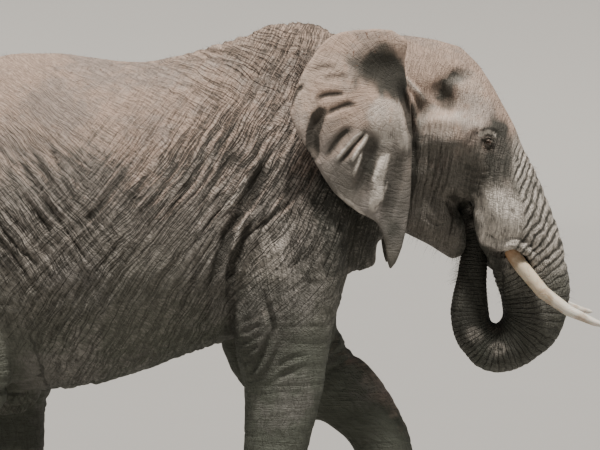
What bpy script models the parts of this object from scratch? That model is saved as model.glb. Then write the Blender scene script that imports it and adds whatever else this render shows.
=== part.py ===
"""African bush elephant: a young bull, walking, its trunk curled up to its mouth.

Metres, +Z up. It faces +X, its left side is +Y, and it stands on z = 0.
"""

import math

import bmesh
import bpy
import numpy as np
from mathutils import Matrix, Vector
from mathutils.bvhtree import BVHTree

# ------------------------------------------------------------------ sizes
# The life size is set by the shoulder height. Every place and size below is
# for the drawn height, and the finished animal is scaled by the ratio.
DRAWN_HEIGHT = 3.0
SHOULDER_HEIGHT = 3.0
LIFE_SCALE = SHOULDER_HEIGHT / DRAWN_HEIGHT

GAP = 0.0003             # clearance between sub-parts that touch
BODY_SKIN = 2 * GAP      # clearance left round the body for what grows on it
VOXEL = 0.014            # grain of the blended body before it is thinned out
BODY_TRIANGLES = 3450    # what the blended body is thinned out to
BLEND_PASSES = 12        # smoothing where the lofts meet
SETTLE_PASSES = 2        # smoothing after the swells and hollows
RING_SIDES = 36
SPAN_STEPS = 5           # rings made for each pair of stations
BLOCK_SIZE = 9.0         # cube that a cutting block is trimmed from, larger than the animal
LIMB_POWER = 2.15        # squareness of the sections: 2 is an ellipse
TORSO_POWER = 2.25
HEAD_POWER = 2.3
ROUND_POWER = 2.0

# Torso: x, lowest, widest and highest z, half width, how much the top narrows.
TORSO = (
    (-1.985, 1.62, 1.83, 2.00, 0.12, 0.10),
    (-1.930, 1.50, 1.83, 2.16, 0.26, 0.16),
    (-1.800, 1.32, 1.85, 2.38, 0.38, 0.24),
    (-1.586, 1.16, 1.91, 2.63, 0.48, 0.30),
    (-1.318, 1.06, 1.94, 2.79, 0.55, 0.30),
    (-1.050, 1.03, 1.91, 2.835, 0.60, 0.28),
    (-0.782, 1.05, 1.90, 2.825, 0.65, 0.27),
    (-0.514, 1.11, 1.90, 2.785, 0.66, 0.27),
    (-0.246, 1.21, 1.93, 2.82, 0.63, 0.30),
    (0.021, 1.30, 1.98, 2.90, 0.57, 0.35),
    (0.289, 1.36, 2.02, 2.99, 0.51, 0.38),
    (0.557, 1.61, 2.02, 2.95, 0.42, 0.32),
    (0.740, 1.68, 1.97, 2.60, 0.25, 0.10),
    (0.805, 1.70, 1.93, 2.20, 0.13, 0.10),
)

# Every other tube: x, y, z of its centre, then its half sizes toward its
# front (or top), toward its back (or underside), and to each side.
NECK = (
    (0.396, 0, 2.368, 0.60, 0.59, 0.42),
    (0.664, 0, 2.368, 0.555, 0.54, 0.38),
    (0.932, 0, 2.368, 0.565, 0.51, 0.34),
    (1.115, 0, 2.320, 0.566, 0.37, 0.26),
)
FACE = (
    (1.090, 0, 2.830, 0.150, 0.134, 0.16),
    (1.135, 0, 2.690, 0.230, 0.260, 0.26),
    (1.222, 0, 2.475, 0.272, 0.290, 0.315),
    (1.307, 0, 2.261, 0.294, 0.295, 0.33),
    (1.425, 0, 2.100, 0.252, 0.134, 0.305),
    (1.532, 0, 1.896, 0.232, 0.177, 0.265),
    (1.575, 0, 1.714, 0.250, 0.161, 0.215),
    (1.645, 0, 1.564, 0.205, 0.180, 0.180),
    (1.645, 0, 1.393, 0.162, 0.163, 0.17),
    (1.555, 0, 1.280, 0.129, 0.145, 0.15),
    (1.436, 0, 1.248, 0.130, 0.126, 0.135),
    (1.345, 0, 1.302, 0.107, 0.107, 0.12),
)
TRUNK_END = (
    (1.400, 0, 1.252, 0.095, 0.095, 0.11),
    (1.345, 0, 1.302, 0.104, 0.104, 0.118),
    (1.310, 0, 1.393, 0.104, 0.104, 0.11),
    (1.310, 0, 1.511, 0.104, 0.097, 0.10),
    (1.320, 0, 1.618, 0.086, 0.076, 0.088),
    (1.326, 0, 1.725, 0.072, 0.072, 0.075),
    (1.329, 0, 1.832, 0.062, 0.062, 0.066),
    (1.308, 0, 1.929, 0.054, 0.054, 0.058),
    (1.276, 0, 2.004, 0.046, 0.046, 0.05),
    (1.262, 0, 2.032, 0.025, 0.025, 0.03),
)
JAW = (
    (0.985, 0, 2.060, 0.16, 0.16, 0.21),
    (1.060, 0, 1.985, 0.17, 0.155, 0.20),
    (1.165, 0, 1.875, 0.14, 0.105, 0.155),
    (1.235, 0, 1.800, 0.085, 0.080, 0.10),
    (1.275, 0, 1.757, 0.062, 0.050, 0.085),
    (1.315, 0, 1.718, 0.035, 0.030, 0.050),
)
RIGHT_LIP = (
    (1.360, -0.185, 2.010, 0.060, 0.060, 0.060),
    (1.350, -0.180, 1.920, 0.058, 0.058, 0.058),
    (1.375, -0.170, 1.820, 0.052, 0.052, 0.050),
    (1.412, -0.160, 1.740, 0.045, 0.045, 0.045),
    (1.442, -0.150, 1.668, 0.035, 0.035, 0.035),
)
RIGHT_FORELEG = (
    (0.423, -0.20, 2.560, 0.150, 0.170, 0.10),
    (0.430, -0.33, 2.080, 0.230, 0.280, 0.20),
    (0.343, -0.38, 1.618, 0.268, 0.300, 0.20),
    (0.311, -0.37, 1.296, 0.241, 0.246, 0.19),
    (0.305, -0.36, 1.055, 0.209, 0.204, 0.175),
    (0.263, -0.34, 0.761, 0.171, 0.167, 0.16),
    (0.236, -0.33, 0.546, 0.166, 0.161, 0.16),
    (0.225, -0.32, 0.279, 0.171, 0.171, 0.17),
    (0.236, -0.32, 0.118, 0.214, 0.204, 0.205),
    (0.246, -0.32, 0.030, 0.232, 0.222, 0.225),
    (0.248, -0.32, -0.03, 0.215, 0.205, 0.21),
)
LEFT_FORELEG = (
    (0.423, 0.20, 2.560, 0.150, 0.170, 0.10),
    (0.450, 0.34, 1.950, 0.255, 0.295, 0.20),
    (0.332, 0.38, 1.404, 0.268, 0.395, 0.20),
    (0.477, 0.37, 1.109, 0.215, 0.330, 0.18),
    (0.637, 0.36, 0.965, 0.214, 0.185, 0.165),
    (0.800, 0.34, 0.780, 0.178, 0.150, 0.155),
    (0.880, 0.33, 0.600, 0.148, 0.155, 0.15),
    (0.905, 0.33, 0.420, 0.155, 0.155, 0.16),
    (0.868, 0.32, 0.250, 0.185, 0.185, 0.19),
    (0.803, 0.32, 0.140, 0.215, 0.205, 0.21),
    (0.770, 0.32, 0.096, 0.195, 0.190, 0.19),
)
LEFT_HINDLEG = (
    (-1.398, 0.20, 2.420, 0.240, 0.240, 0.14),
    (-1.350, 0.30, 2.000, 0.290, 0.310, 0.21),
    (-1.318, 0.34, 1.618, 0.285, 0.321, 0.23),
    (-1.184, 0.36, 1.109, 0.215, 0.268, 0.20),
    (-1.184, 0.36, 0.868, 0.182, 0.192, 0.165),
    (-1.200, 0.35, 0.654, 0.190, 0.193, 0.15),
    (-1.254, 0.34, 0.412, 0.145, 0.150, 0.14),
    (-1.221, 0.33, 0.171, 0.168, 0.165, 0.16),
    (-1.190, 0.33, 0.030, 0.204, 0.190, 0.18),
    (-1.188, 0.33, -0.03, 0.190, 0.175, 0.165),
)
RIGHT_HINDLEG = (
    (-1.425, -0.20, 2.420, 0.240, 0.240, 0.14),
    (-1.445, -0.30, 2.000, 0.300, 0.320, 0.21),
    (-1.452, -0.34, 1.618, 0.310, 0.332, 0.23),
    (-1.398, -0.36, 1.136, 0.268, 0.321, 0.20),
    (-1.479, -0.36, 0.814, 0.182, 0.200, 0.165),
    (-1.613, -0.35, 0.546, 0.158, 0.180, 0.15),
    (-1.690, -0.34, 0.359, 0.142, 0.155, 0.14),
    (-1.694, -0.33, 0.155, 0.168, 0.165, 0.16),
    (-1.671, -0.33, 0.030, 0.204, 0.190, 0.18),
    (-1.669, -0.33, -0.03, 0.190, 0.175, 0.165),
)
SHEATH = (
    (-1.360, 0, 1.080, 0.10, 0.10, 0.12),
    (-1.250, 0, 1.000, 0.09, 0.10, 0.11),
    (-1.130, 0, 0.975, 0.075, 0.078, 0.09),
    (-1.045, 0, 0.990, 0.045, 0.048, 0.06),
    (-1.005, 0, 1.000, 0.015, 0.018, 0.02),
)
TAIL = (
    (-1.740, 0, 2.380, 0.090, 0.090, 0.090),
    (-1.890, 0, 2.285, 0.076, 0.076, 0.082),
    (-1.998, 0, 2.120, 0.054, 0.054, 0.062),
    (-2.056, 0, 1.850, 0.040, 0.040, 0.046),
    (-2.080, 0, 1.500, 0.032, 0.032, 0.038),
    (-2.078, 0, 1.180, 0.026, 0.026, 0.030),
)
TAIL_SIDES = 10
TAIL_BRUSH = (
    (-2.078, 0, 1.180, 0.028, 0.028, 0.030),
    (-2.075, 0, 1.050, 0.050, 0.050, 0.028),
    (-2.070, 0, 0.920, 0.056, 0.056, 0.026),
    (-2.063, 0, 0.800, 0.034, 0.034, 0.018),
    (-2.058, 0, 0.740, 0.010, 0.010, 0.008),
)
RIGHT_TUSK = (
    (1.465, -0.150, 1.870, 0.043, 0.043, 0.043),
    (1.510, -0.192, 1.790, 0.043, 0.043, 0.043),
    (1.565, -0.224, 1.706, 0.041, 0.041, 0.041),
    (1.682, -0.245, 1.564, 0.038, 0.038, 0.038),
    (1.816, -0.270, 1.468, 0.031, 0.031, 0.031),
    (1.950, -0.290, 1.409, 0.021, 0.021, 0.021),
    (2.015, -0.297, 1.388, 0.013, 0.013, 0.013),
    (2.032, -0.299, 1.383, 0.004, 0.004, 0.004),
)
LEFT_TUSK_LIFT = 0.045   # the left tusk's tip stands this much higher
LEFT_TUSK_SHORT = 0.035  # and this much further back
TUSK_SIDES = 10
SOCKET_DEEPER = 0.01     # of the tusk's first span, left free behind its root

MOUTH_ROOM = 0.05        # open space kept round the trunk's end in the mouth
MOUTH_ROOM_START = (1.318, 0, 1.560, 0.06, 0.06, 0.06)
TIP_ROOM = 0.0225        # reach of the cutter that frees the trunk's end in that space
MOUTH_SLOT = ((1.226, 2.040), (1.262, 2.010), (1.295, 1.900), (1.340, 1.790), (1.385, 1.700),
              (1.395, 1.600), (1.255, 1.600), (1.268, 1.800), (1.245, 1.930))
MOUTH_SLOT_HALF = 0.42
MOUTH_LEVEL = 1.640      # where the rising trunk is divided, below the lips

# Where the body is divided into its nodes.
TRUNK_RISE_LEVEL = 1.385
TRUNK_BEND_LEVEL = 1.430
TRUNK_BEND_MIDDLE = 1.446
TRUNK_HALF = 0.30        # wider than half the trunk's bend
RISE_HALF = 0.14         # wider than half the rising trunk
CHIN_LEVEL = 1.50        # below the head, neck and jaw, above the trunk's bend
HEAD_REAR = 0.955
JAW_REAR = 0.99
SHEATH_LEVEL = 1.010
SHEATH_HALF = 0.13
SHEATH_FRONT = -0.90
SHEATH_FLOOR = 0.80
FORE_ANKLE = 0.50
HIND_ANKLE = 0.42
ELBOWS = {"left": -0.075, "right": 0.0}
FORE_HIND_MIDDLE = -0.4

# Swells (+) and hollows (-) pressed into both sides: centre, reach and height.
PRESSES = {
    "temple": ((1.184, 0.33, 2.600), (0.10, 0.25, 0.11), -0.040),
    "brow": ((1.330, 0.33, 2.440), (0.11, 0.20, 0.06), 0.022),
    "cheekbone": ((1.200, 0.35, 2.360), (0.16, 0.20, 0.07), 0.022),
    "eye_hollow": ((1.381, 0.31, 2.350), (0.055, 0.15, 0.045), -0.016),
    "cheek": ((1.270, 0.33, 2.170), (0.12, 0.20, 0.11), -0.030),
    "tusk_socket": ((1.480, 0.24, 1.930), (0.10, 0.12, 0.15), 0.045),
    "lip_edge": ((1.530, 0.20, 1.830), (0.07, 0.10, 0.05), 0.018),
    "shoulder_blade": ((0.300, 0.50, 2.350), (0.16, 0.30, 0.36), 0.030),
    "behind_shoulder": ((0.020, 0.60, 2.050), (0.10, 0.30, 0.45), -0.030),
    "elbow": ((0.130, 0.45, 1.340), (0.11, 0.20, 0.18), 0.025),
    "hip_bone": ((-1.300, 0.45, 2.520), (0.13, 0.25, 0.12), 0.030),
    "flank": ((-1.020, 0.60, 2.280), (0.20, 0.30, 0.22), -0.040),
    "knee": ((-1.150, 0.50, 1.220), (0.13, 0.20, 0.20), 0.020),
}

# Ear outline in x and z, from the top of its root round the rear and the lobe
# and up its free front edge. It swings out behind its root line.
EAR_OUTLINE = ((0.955, 2.925), (0.840, 2.950), (0.706, 2.947), (0.603, 2.931), (0.526, 2.890),
               (0.458, 2.802), (0.402, 2.709), (0.355, 2.580), (0.345, 2.500), (0.376, 2.425),
               (0.474, 2.254), (0.572, 2.099), (0.706, 1.991), (0.795, 1.945), (0.838, 1.840),
               (0.867, 1.690), (0.929, 1.805), (0.965, 1.986), (0.978, 2.136), (0.985, 2.400))
EAR_ROOT_PLACE = (0.99, 0.330)   # x, and distance from the middle of the head
EAR_SWING = 0.325                # how far its rear margin stands out from the root
EAR_REACH = 0.645                # fore and aft length over which it swings out
EAR_BOW = 1.8                    # how soon it swings out
EAR_TUCK = 0.95                  # how much its top and lobe lie closer, per square metre
EAR_MIDDLE = 2.42                # the height at which it stands out most
EAR_THICKNESS = (0.034, 0.014)   # at the root and at the rear margin
EAR_GRID = (6, 9)                # facets fore and aft, and up
EAR_SPAN = (1.62, 3.02)          # heights that the untrimmed leaf reaches
EAR_MARGIN = 0.03                # what the trimming takes at each end
EAR_TRIM_HALF = 1.2

EYE_PLACE = (1.386, 2.354)
EYE_RADIUS = 0.021
EYE_SIDES = 10
EYE_SHOWS = 0.011                # how far the ball stands out of the skin

NAIL_SIZE = (0.022, 0.046, 0.042)    # out of the foot, round it, up it
NAIL_SIDES = 7
NAIL_SET_IN = 0.006
NAIL_RISE = 0.018
FORE_NAIL_ANGLES = (-58, -20, 18, 54)
HIND_NAIL_ANGLES = (-46, -4, 38)
# Which way each leg runs down into its foot.
FOOT_AIMS = {"right_fore": (0.02, 0, -1), "left_fore": (-0.6, 0, -0.8),
             "left_hind": (0.10, 0, -1), "right_hind": (0.10, 0, -1)}

COLOURS = {
    "skin": ((0.235, 0.205, 0.178), 0.86),
    "trunk": ((0.165, 0.150, 0.135), 0.86),
    "leg": ((0.150, 0.138, 0.125), 0.88),
    "ear": ((0.255, 0.210, 0.180), 0.85),
    "ivory": ((0.640, 0.540, 0.410), 0.45),
    "eye": ((0.030, 0.016, 0.008), 0.10),
    "hair": ((0.020, 0.017, 0.015), 0.60),
}


# ------------------------------------------------------------------ helpers
def clear_scene():
    """Remove whatever the file opened with."""
    for obj in list(bpy.data.objects):
        bpy.data.objects.remove(obj, do_unlink=True)


def collection(name):
    """A new collection in the scene."""
    made = bpy.data.collections.new(name)
    bpy.context.scene.collection.children.link(made)
    return made


def material(name, colour, roughness):
    """A plain Principled material."""
    made = bpy.data.materials.new(name)
    made.use_nodes = True
    shader = made.node_tree.nodes["Principled BSDF"]
    shader.inputs["Base Color"].default_value = (*colour, 1.0)
    shader.inputs["Roughness"].default_value = roughness
    shader.inputs["Metallic"].default_value = 0.0
    return made


def object_from(name, bm, group):
    """Turn a bmesh into an object with its faces outward."""
    bmesh.ops.recalc_face_normals(bm, faces=bm.faces)
    mesh = bpy.data.meshes.new(name)
    bm.to_mesh(mesh)
    bm.free()
    obj = bpy.data.objects.new(name, mesh)
    group.objects.link(obj)
    return obj


def helper(obj):
    """Mark a cutter, which no render shows."""
    obj.hide_render = True
    obj.display_type = "WIRE"
    return obj


def drop(obj):
    """Remove an object that has been used up."""
    bpy.data.objects.remove(obj, do_unlink=True)


def modified(obj, kind, **settings):
    """Put a modifier on an object and keep its result as the mesh."""
    modifier = obj.modifiers.new(kind.title(), kind)
    for name, value in settings.items():
        setattr(modifier, name, value)
    graph = bpy.context.evaluated_depsgraph_get()
    mesh = bpy.data.meshes.new_from_object(obj.evaluated_get(graph))
    obj.modifiers.remove(modifier)
    obj.data = mesh
    return obj


def cut(obj, cutter, operation="DIFFERENCE"):
    """Boolean of two closed meshes."""
    return modified(obj, "BOOLEAN", object=cutter, operation=operation, solver="EXACT")


def copied(obj, name, group):
    """A separate copy of an object."""
    twin = obj.copy()
    twin.data = obj.data.copy()
    twin.name = name
    group.objects.link(twin)
    return twin


def joined(name, objects, group):
    """One object holding the meshes of several, which are used up."""
    bm = bmesh.new()
    for obj in objects:
        bm.from_mesh(obj.data)
        drop(obj)
    return object_from(name, bm, group)


def through(rows, steps):
    """Rows of numbers on a smooth curve through the given rows."""
    keys = np.array(rows, float)
    ends = np.vstack([2 * keys[0] - keys[1], keys, 2 * keys[-1] - keys[-2]])
    out = []
    for a, b, c, d in zip(ends, ends[1:], ends[2:], ends[3:]):
        for t in np.arange(steps) / steps:
            out.append(0.5 * (2 * b + (c - a) * t + (2 * a - 5 * b + 4 * c - d) * t * t
                              + (3 * b - a - 3 * c + d) * t ** 3))
    return np.array(out + [keys[-1]])


def rings(rows, sides, power, roof=None, grow=0.0):
    """Cross sections square to the line through the rows' centres."""
    centres = rows[:, :3]
    along = np.gradient(centres, axis=0)
    along /= np.linalg.norm(along, axis=1)[:, None]
    front = np.cross(along, (0, 1, 0))
    front /= np.linalg.norm(front, axis=1)[:, None]
    side = np.cross(front, along)
    turn = np.arange(sides) * math.tau / sides
    out = np.sign(np.sin(turn)) * np.abs(np.sin(turn)) ** (2 / power)
    wide = np.sign(np.cos(turn)) * np.abs(np.cos(turn)) ** (2 / power)
    loops = []
    for i, row in enumerate(rows):
        depth = np.where(out > 0, row[3] + grow, row[4] + grow) * out
        width = (row[5] + grow) * wide
        if roof is not None:
            width = width * (1 - roof[i] * np.clip(out, 0, 1) ** 2)
        loops.append(centres[i] + depth[:, None] * front[i] + width[:, None] * side[i])
    return loops


def skinned(name, loops, group):
    """A closed tube over a row of rings."""
    bm = bmesh.new()
    rows = [[bm.verts.new(point) for point in loop] for loop in loops]
    count = len(rows[0])
    for low, high in zip(rows, rows[1:]):
        for i in range(count):
            j = (i + 1) % count
            bm.faces.new((low[i], low[j], high[j], high[i]))
    bm.faces.new(rows[0])
    bm.faces.new(rows[-1])
    return object_from(name, bm, group)


def tube(name, stations, group, sides=RING_SIDES, steps=SPAN_STEPS, power=LIMB_POWER, grow=0.0):
    """A loft through stations, with superellipse sections."""
    return skinned(name, rings(through(stations, steps), sides, power, grow=grow), group)


def ball(name, place, size, group, segments=16, turn=None):
    """An ellipsoid."""
    bm = bmesh.new()
    bmesh.ops.create_uvsphere(bm, u_segments=segments, v_segments=segments * 5 // 8, radius=1.0)
    shape = Matrix.Diagonal((*size, 1.0))
    if turn is not None:
        shape = turn.to_4x4() @ shape
    bmesh.ops.transform(bm, matrix=Matrix.Translation(place) @ shape, verts=bm.verts)
    return object_from(name, bm, group)


def prism(name, outline, half, group):
    """A flat outline in x and z, run across the body."""
    bm = bmesh.new()
    face = bm.faces.new([bm.verts.new((x, -half, z)) for x, z in outline])
    moved = bmesh.ops.extrude_face_region(bm, geom=[face])
    verts = [item for item in moved["geom"] if isinstance(item, bmesh.types.BMVert)]
    bmesh.ops.translate(bm, vec=(0, 2 * half, 0), verts=verts)
    return object_from(name, bm, group)


def wedge(name, planes, grow, group):
    """A block trimmed to the inner side of each plane, given as point and outward normal."""
    bm = bmesh.new()
    bmesh.ops.create_cube(bm, size=BLOCK_SIZE)
    for point, normal in planes:
        outward = Vector(normal).normalized()
        place = Vector(point) + outward * grow
        geometry = list(bm.verts) + list(bm.edges) + list(bm.faces)
        sliced = bmesh.ops.bisect_plane(bm, geom=geometry, plane_co=place, plane_no=outward,
                                        clear_outer=True)
        edges = [item for item in sliced["geom_cut"] if isinstance(item, bmesh.types.BMEdge)]
        bmesh.ops.contextual_create(bm, geom=edges)
    return helper(object_from(name, bm, group))


# ------------------------------------------------------------------ body mass
def torso_tube(group):
    """The barrel of the body, narrower along the spine."""
    rows = through(TORSO, SPAN_STEPS)
    x, low, wide, high, half, roof = rows.T
    zero = np.zeros_like(x)
    stations = np.column_stack([x, zero, wide, high - wide, wide - low, half])
    flat = stations.copy()
    flat[:, 2] = 0
    loops = rings(flat, RING_SIDES * 2, TORSO_POWER, roof=roof)
    raised = [loop + (0, 0, z) for loop, z in zip(loops, stations[:, 2])]
    return skinned("torso_tube", raised, group)


def nail_balls(station, along, angles, group):
    """Toenails round the front of a foot."""
    x, y, z, front, _, half = station
    down = Vector(along).normalized()
    forward = down.cross(Vector((0, 1, 0))).normalized()
    side = forward.cross(down)
    nails = []
    for angle in angles:
        a = math.radians(angle)
        out = forward * math.cos(a) + side * math.sin(a)
        reach = 1 / math.hypot(math.cos(a) / front, math.sin(a) / half)
        place = Vector((x, y, z)) + out * (reach - NAIL_SET_IN) - down * NAIL_RISE
        turn = Matrix((out, down.cross(out), -down)).transposed()
        nails.append(ball("nail", place, NAIL_SIZE, group, segments=NAIL_SIDES, turn=turn))
    return nails


def press(obj):
    """Swell and hollow both sides of the body by the named amounts."""
    mesh = obj.data
    count = len(mesh.vertices)
    places = np.empty(count * 3)
    normals = np.empty(count * 3)
    mesh.vertices.foreach_get("co", places)
    mesh.vertices.foreach_get("normal", normals)
    places, normals = places.reshape(-1, 3), normals.reshape(-1, 3)
    moved = places.copy()
    for centre, reach, height in PRESSES.values():
        away = (np.abs(places * (0, 1, 0)) + places * (1, 0, 1) - centre) / reach
        moved += normals * (height * np.exp(-(away ** 2).sum(axis=1)))[:, None]
    mesh.vertices.foreach_set("co", moved.ravel())
    mesh.update()


def flatten_soles(obj, group):
    """Cut the feet level with the ground."""
    ground = wedge("ground", [((0, 0, 0), (0, 0, 1))], 0.0, group)
    cut(obj, ground)
    drop(ground)


def build_body(group):
    """The whole body in one piece: lofts blended, pressed and thinned out."""
    parts = [
        torso_tube(group),
        tube("neck_tube", NECK, group, power=HEAD_POWER),
        tube("face_tube", FACE, group, power=HEAD_POWER),
        tube("jaw_tube", JAW, group),
        tube("sheath_tube", SHEATH, group),
    ]
    for rows in (RIGHT_FORELEG, LEFT_FORELEG, LEFT_HINDLEG, RIGHT_HINDLEG):
        parts.append(tube("leg_tube", rows, group))
    left_lip = [(x, -y, z, *half) for x, y, z, *half in RIGHT_LIP]
    for rows in (RIGHT_LIP, left_lip):
        parts.append(tube("lip_tube", rows, group, sides=16))
    body = joined("body", parts, group)
    modified(body, "REMESH", mode="VOXEL", voxel_size=VOXEL)
    carve_mouth(body, group)
    body = joined("body", [body, tube("trunk_end_tube", TRUNK_END, group)], group)
    modified(body, "REMESH", mode="VOXEL", voxel_size=VOXEL)
    modified(body, "SMOOTH", factor=0.5, iterations=BLEND_PASSES)
    press(body)
    modified(body, "SMOOTH", factor=0.5, iterations=SETTLE_PASSES)
    thin_out(body)
    add_nails(body, group)
    flatten_soles(body, group)
    return body


def carve_mouth(body, group):
    """Open the mouth and leave room for the trunk's end inside it."""
    inside = [row for row in TRUNK_END if row[2] > MOUTH_ROOM_START[2]]
    room = tube("mouth_room", [MOUTH_ROOM_START, *inside], group, grow=MOUTH_ROOM)
    slot = prism("mouth_slot", MOUTH_SLOT, MOUTH_SLOT_HALF, group)
    for cutter in (room, slot):
        cut(body, helper(cutter))
        drop(cutter)


def thin_out(body):
    """Fewer triangles, the most of them where the body bends most."""
    modified(body, "TRIANGULATE")
    ratio = BODY_TRIANGLES / len(body.data.polygons)
    modified(body, "DECIMATE", decimate_type="COLLAPSE", ratio=ratio,
             use_collapse_triangulate=True)


def add_nails(body, group):
    """Join the toenails to the feet."""
    feet = (
        ("right_fore", RIGHT_FORELEG, FORE_NAIL_ANGLES),
        ("left_fore", LEFT_FORELEG, FORE_NAIL_ANGLES),
        ("left_hind", LEFT_HINDLEG, HIND_NAIL_ANGLES),
        ("right_hind", RIGHT_HINDLEG, HIND_NAIL_ANGLES),
    )
    for name, leg, angles in feet:
        for nail in nail_balls(leg[-2], FOOT_AIMS[name], angles, group):
            cut(body, helper(nail), "UNION")
            drop(nail)


# ------------------------------------------------------------------ what grows on the body
def ear(name, side, group, cutters):
    """A bent leaf of skin, thinner toward its rear, trimmed to the ear's outline."""
    root_x, root_y = EAR_ROOT_PLACE
    low, high = EAR_SPAN
    bm = bmesh.new()
    bmesh.ops.create_grid(bm, x_segments=EAR_GRID[0], y_segments=EAR_GRID[1], size=1.0)
    reached = {}
    for vertex in bm.verts:
        share = (1 - vertex.co.x) / 2
        bend = 1 - (1 - share) ** EAR_BOW
        x = root_x + EAR_MARGIN - (EAR_REACH + 2 * EAR_MARGIN) * share
        z = low + (high - low) * (1 + vertex.co.y) / 2
        reached[vertex.index] = 1 - share
        y = root_y + EAR_SWING * bend * (1 - EAR_TUCK * (z - EAR_MIDDLE) ** 2)
        vertex.co = (x, side * y, z)
    leaf = object_from(name, bm, group)
    taper = leaf.vertex_groups.new(name="thickness")
    for index, weight in reached.items():
        taper.add([index], weight, "REPLACE")
    thick, thin = EAR_THICKNESS
    modified(leaf, "SOLIDIFY", thickness=thick, offset=0.0, vertex_group="thickness",
             thickness_vertex_group=thin / thick)
    leaf.vertex_groups.clear()
    outline = through(EAR_OUTLINE, 2)[:, :2]
    trim = prism("ear_trim", outline, EAR_TRIM_HALF, cutters)
    cut(leaf, helper(trim), "INTERSECT")
    drop(trim)
    return leaf


def tusk_rows(side):
    """Stations of one tusk; the left one is a little shorter and higher."""
    rows = []
    for x, y, z, *half in RIGHT_TUSK:
        along = (x - RIGHT_TUSK[0][0]) / (RIGHT_TUSK[-1][0] - RIGHT_TUSK[0][0])
        if side > 0:
            x -= LEFT_TUSK_SHORT * along
            z += LEFT_TUSK_LIFT * along ** 2
        rows.append((x, -side * y, z, *half))
    return rows


def tusk(name, side, body, group, cutters):
    """One tusk, in a socket that fits it."""
    rows = np.array(tusk_rows(side))
    back = (rows[0] - rows[1]) * SOCKET_DEEPER
    socket = tube("socket", [rows[0] + back, *rows[1:]], cutters, TUSK_SIDES, 1, ROUND_POWER,
                  grow=2 * GAP)
    cut(body, helper(socket))
    drop(socket)
    return tube(name, rows, group, TUSK_SIDES, 1, ROUND_POWER)


def eye(name, side, body, group, cutters):
    """One eyeball, seated where the skin is at its place on the head."""
    x, z = EYE_PLACE
    graph = bpy.context.evaluated_depsgraph_get()
    tree = BVHTree.FromObject(body, graph)
    hit = tree.ray_cast(Vector((x, side * BLOCK_SIZE, z)), Vector((0, -side, 0)))[0]
    place = (x, hit.y - side * (EYE_RADIUS - EYE_SHOWS), z)
    socket = ball("socket", place, [EYE_RADIUS + GAP] * 3, cutters, segments=EYE_SIDES)
    cut(body, helper(socket))
    drop(socket)
    return ball(name, place, [EYE_RADIUS] * 3, group, EYE_SIDES)


def grown_body(body, amount, group):
    """The body a little larger all round, to trim what meets it."""
    grown = copied(body, "grown_body", group)
    bm = bmesh.new()
    bm.from_mesh(grown.data)
    bm.normal_update()
    for vertex in bm.verts:
        vertex.co += vertex.normal * amount
    bm.to_mesh(grown.data)
    bm.free()
    return helper(grown)


# ------------------------------------------------------------------ division into nodes
def plane(x, y, z, nx, ny, nz):
    """A cutting plane through a point, with its outward normal."""
    return (x, y, z), (nx, ny, nz)


def between(half):
    """The two planes that keep a block near the middle of the animal."""
    return [plane(0, half, 0, 0, 1, 0), plane(0, -half, 0, 0, -1, 0)]


def above(level):
    """The plane that keeps a block above a level."""
    return plane(0, 0, level, 0, 0, -1)


def below(level):
    """The plane that keeps a block below a level."""
    return plane(0, 0, level, 0, 0, 1)


def ahead_of(x):
    """The plane that keeps a block in front of a place."""
    return plane(x, 0, 0, -1, 0, 0)


def behind(x):
    """The plane that keeps a block behind a place."""
    return plane(x, 0, 0, 1, 0, 0)


def divisions():
    """Each node cut from the body in turn, with the planes that bound it."""
    yield "trunk_tip", [above(MOUTH_LEVEL)]
    yield "trunk_rise", [below(MOUTH_LEVEL), above(TRUNK_RISE_LEVEL), ahead_of(1.20),
                         plane(1.421, 0, 1.634, 0.994, 0, 0.106), *between(RISE_HALF)]
    yield "trunk_bend_rear", [below(TRUNK_RISE_LEVEL), above(1.0), behind(TRUNK_BEND_MIDDLE),
                              ahead_of(1.16), *between(TRUNK_HALF)]
    yield "trunk_bend_front", [below(TRUNK_BEND_LEVEL), ahead_of(TRUNK_BEND_MIDDLE)]
    yield "trunk_upper", [plane(1.575, 0, 1.700, -0.25, 0, 0.97), ahead_of(1.42)]
    yield "lower_jaw", [plane(1.228, 0, 2.030, -0.28, 0, 0.96), ahead_of(JAW_REAR),
                        plane(1.268, 0, 1.915, 0.962, 0, 0.272), above(CHIN_LEVEL)]
    yield "head", [ahead_of(HEAD_REAR), above(CHIN_LEVEL)]
    yield "neck", [plane(0.60, 0, 2.94, -0.984, 0, -0.18), above(CHIN_LEVEL)]
    yield "sheath", [below(SHEATH_LEVEL), above(SHEATH_FLOOR), behind(SHEATH_FRONT),
                     *between(SHEATH_HALF)]
    for word, side in (("left", 1), ("right", -1)):
        outside = plane(0, 0, 0, 0, -side, 0)
        yield f"{word}_forefoot", [below(FORE_ANKLE), ahead_of(FORE_HIND_MIDDLE), outside]
        yield f"{word}_foreleg", [plane(0.3, side * 0.10, 1.30, 0, -side * 0.66, 0.75),
                                  ahead_of(ELBOWS[word]), outside]
        yield f"{word}_hindfoot", [below(HIND_ANKLE), outside]
        yield f"{word}_hindleg", [plane(-1.3, side * 0.08, 1.06, 0, -side * 0.76, 0.65),
                                  plane(-0.93, 0, 1.0, 0.98, 0, 0.2), outside]


def within_mouth(block, grow, cutters):
    """Keep only the part of a cutter that lies in the open space round the trunk's end."""
    room = tube("room", TRUNK_END[3:], cutters, grow=TIP_ROOM + grow)
    cut(block, helper(room), "INTERSECT")
    drop(room)


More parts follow.
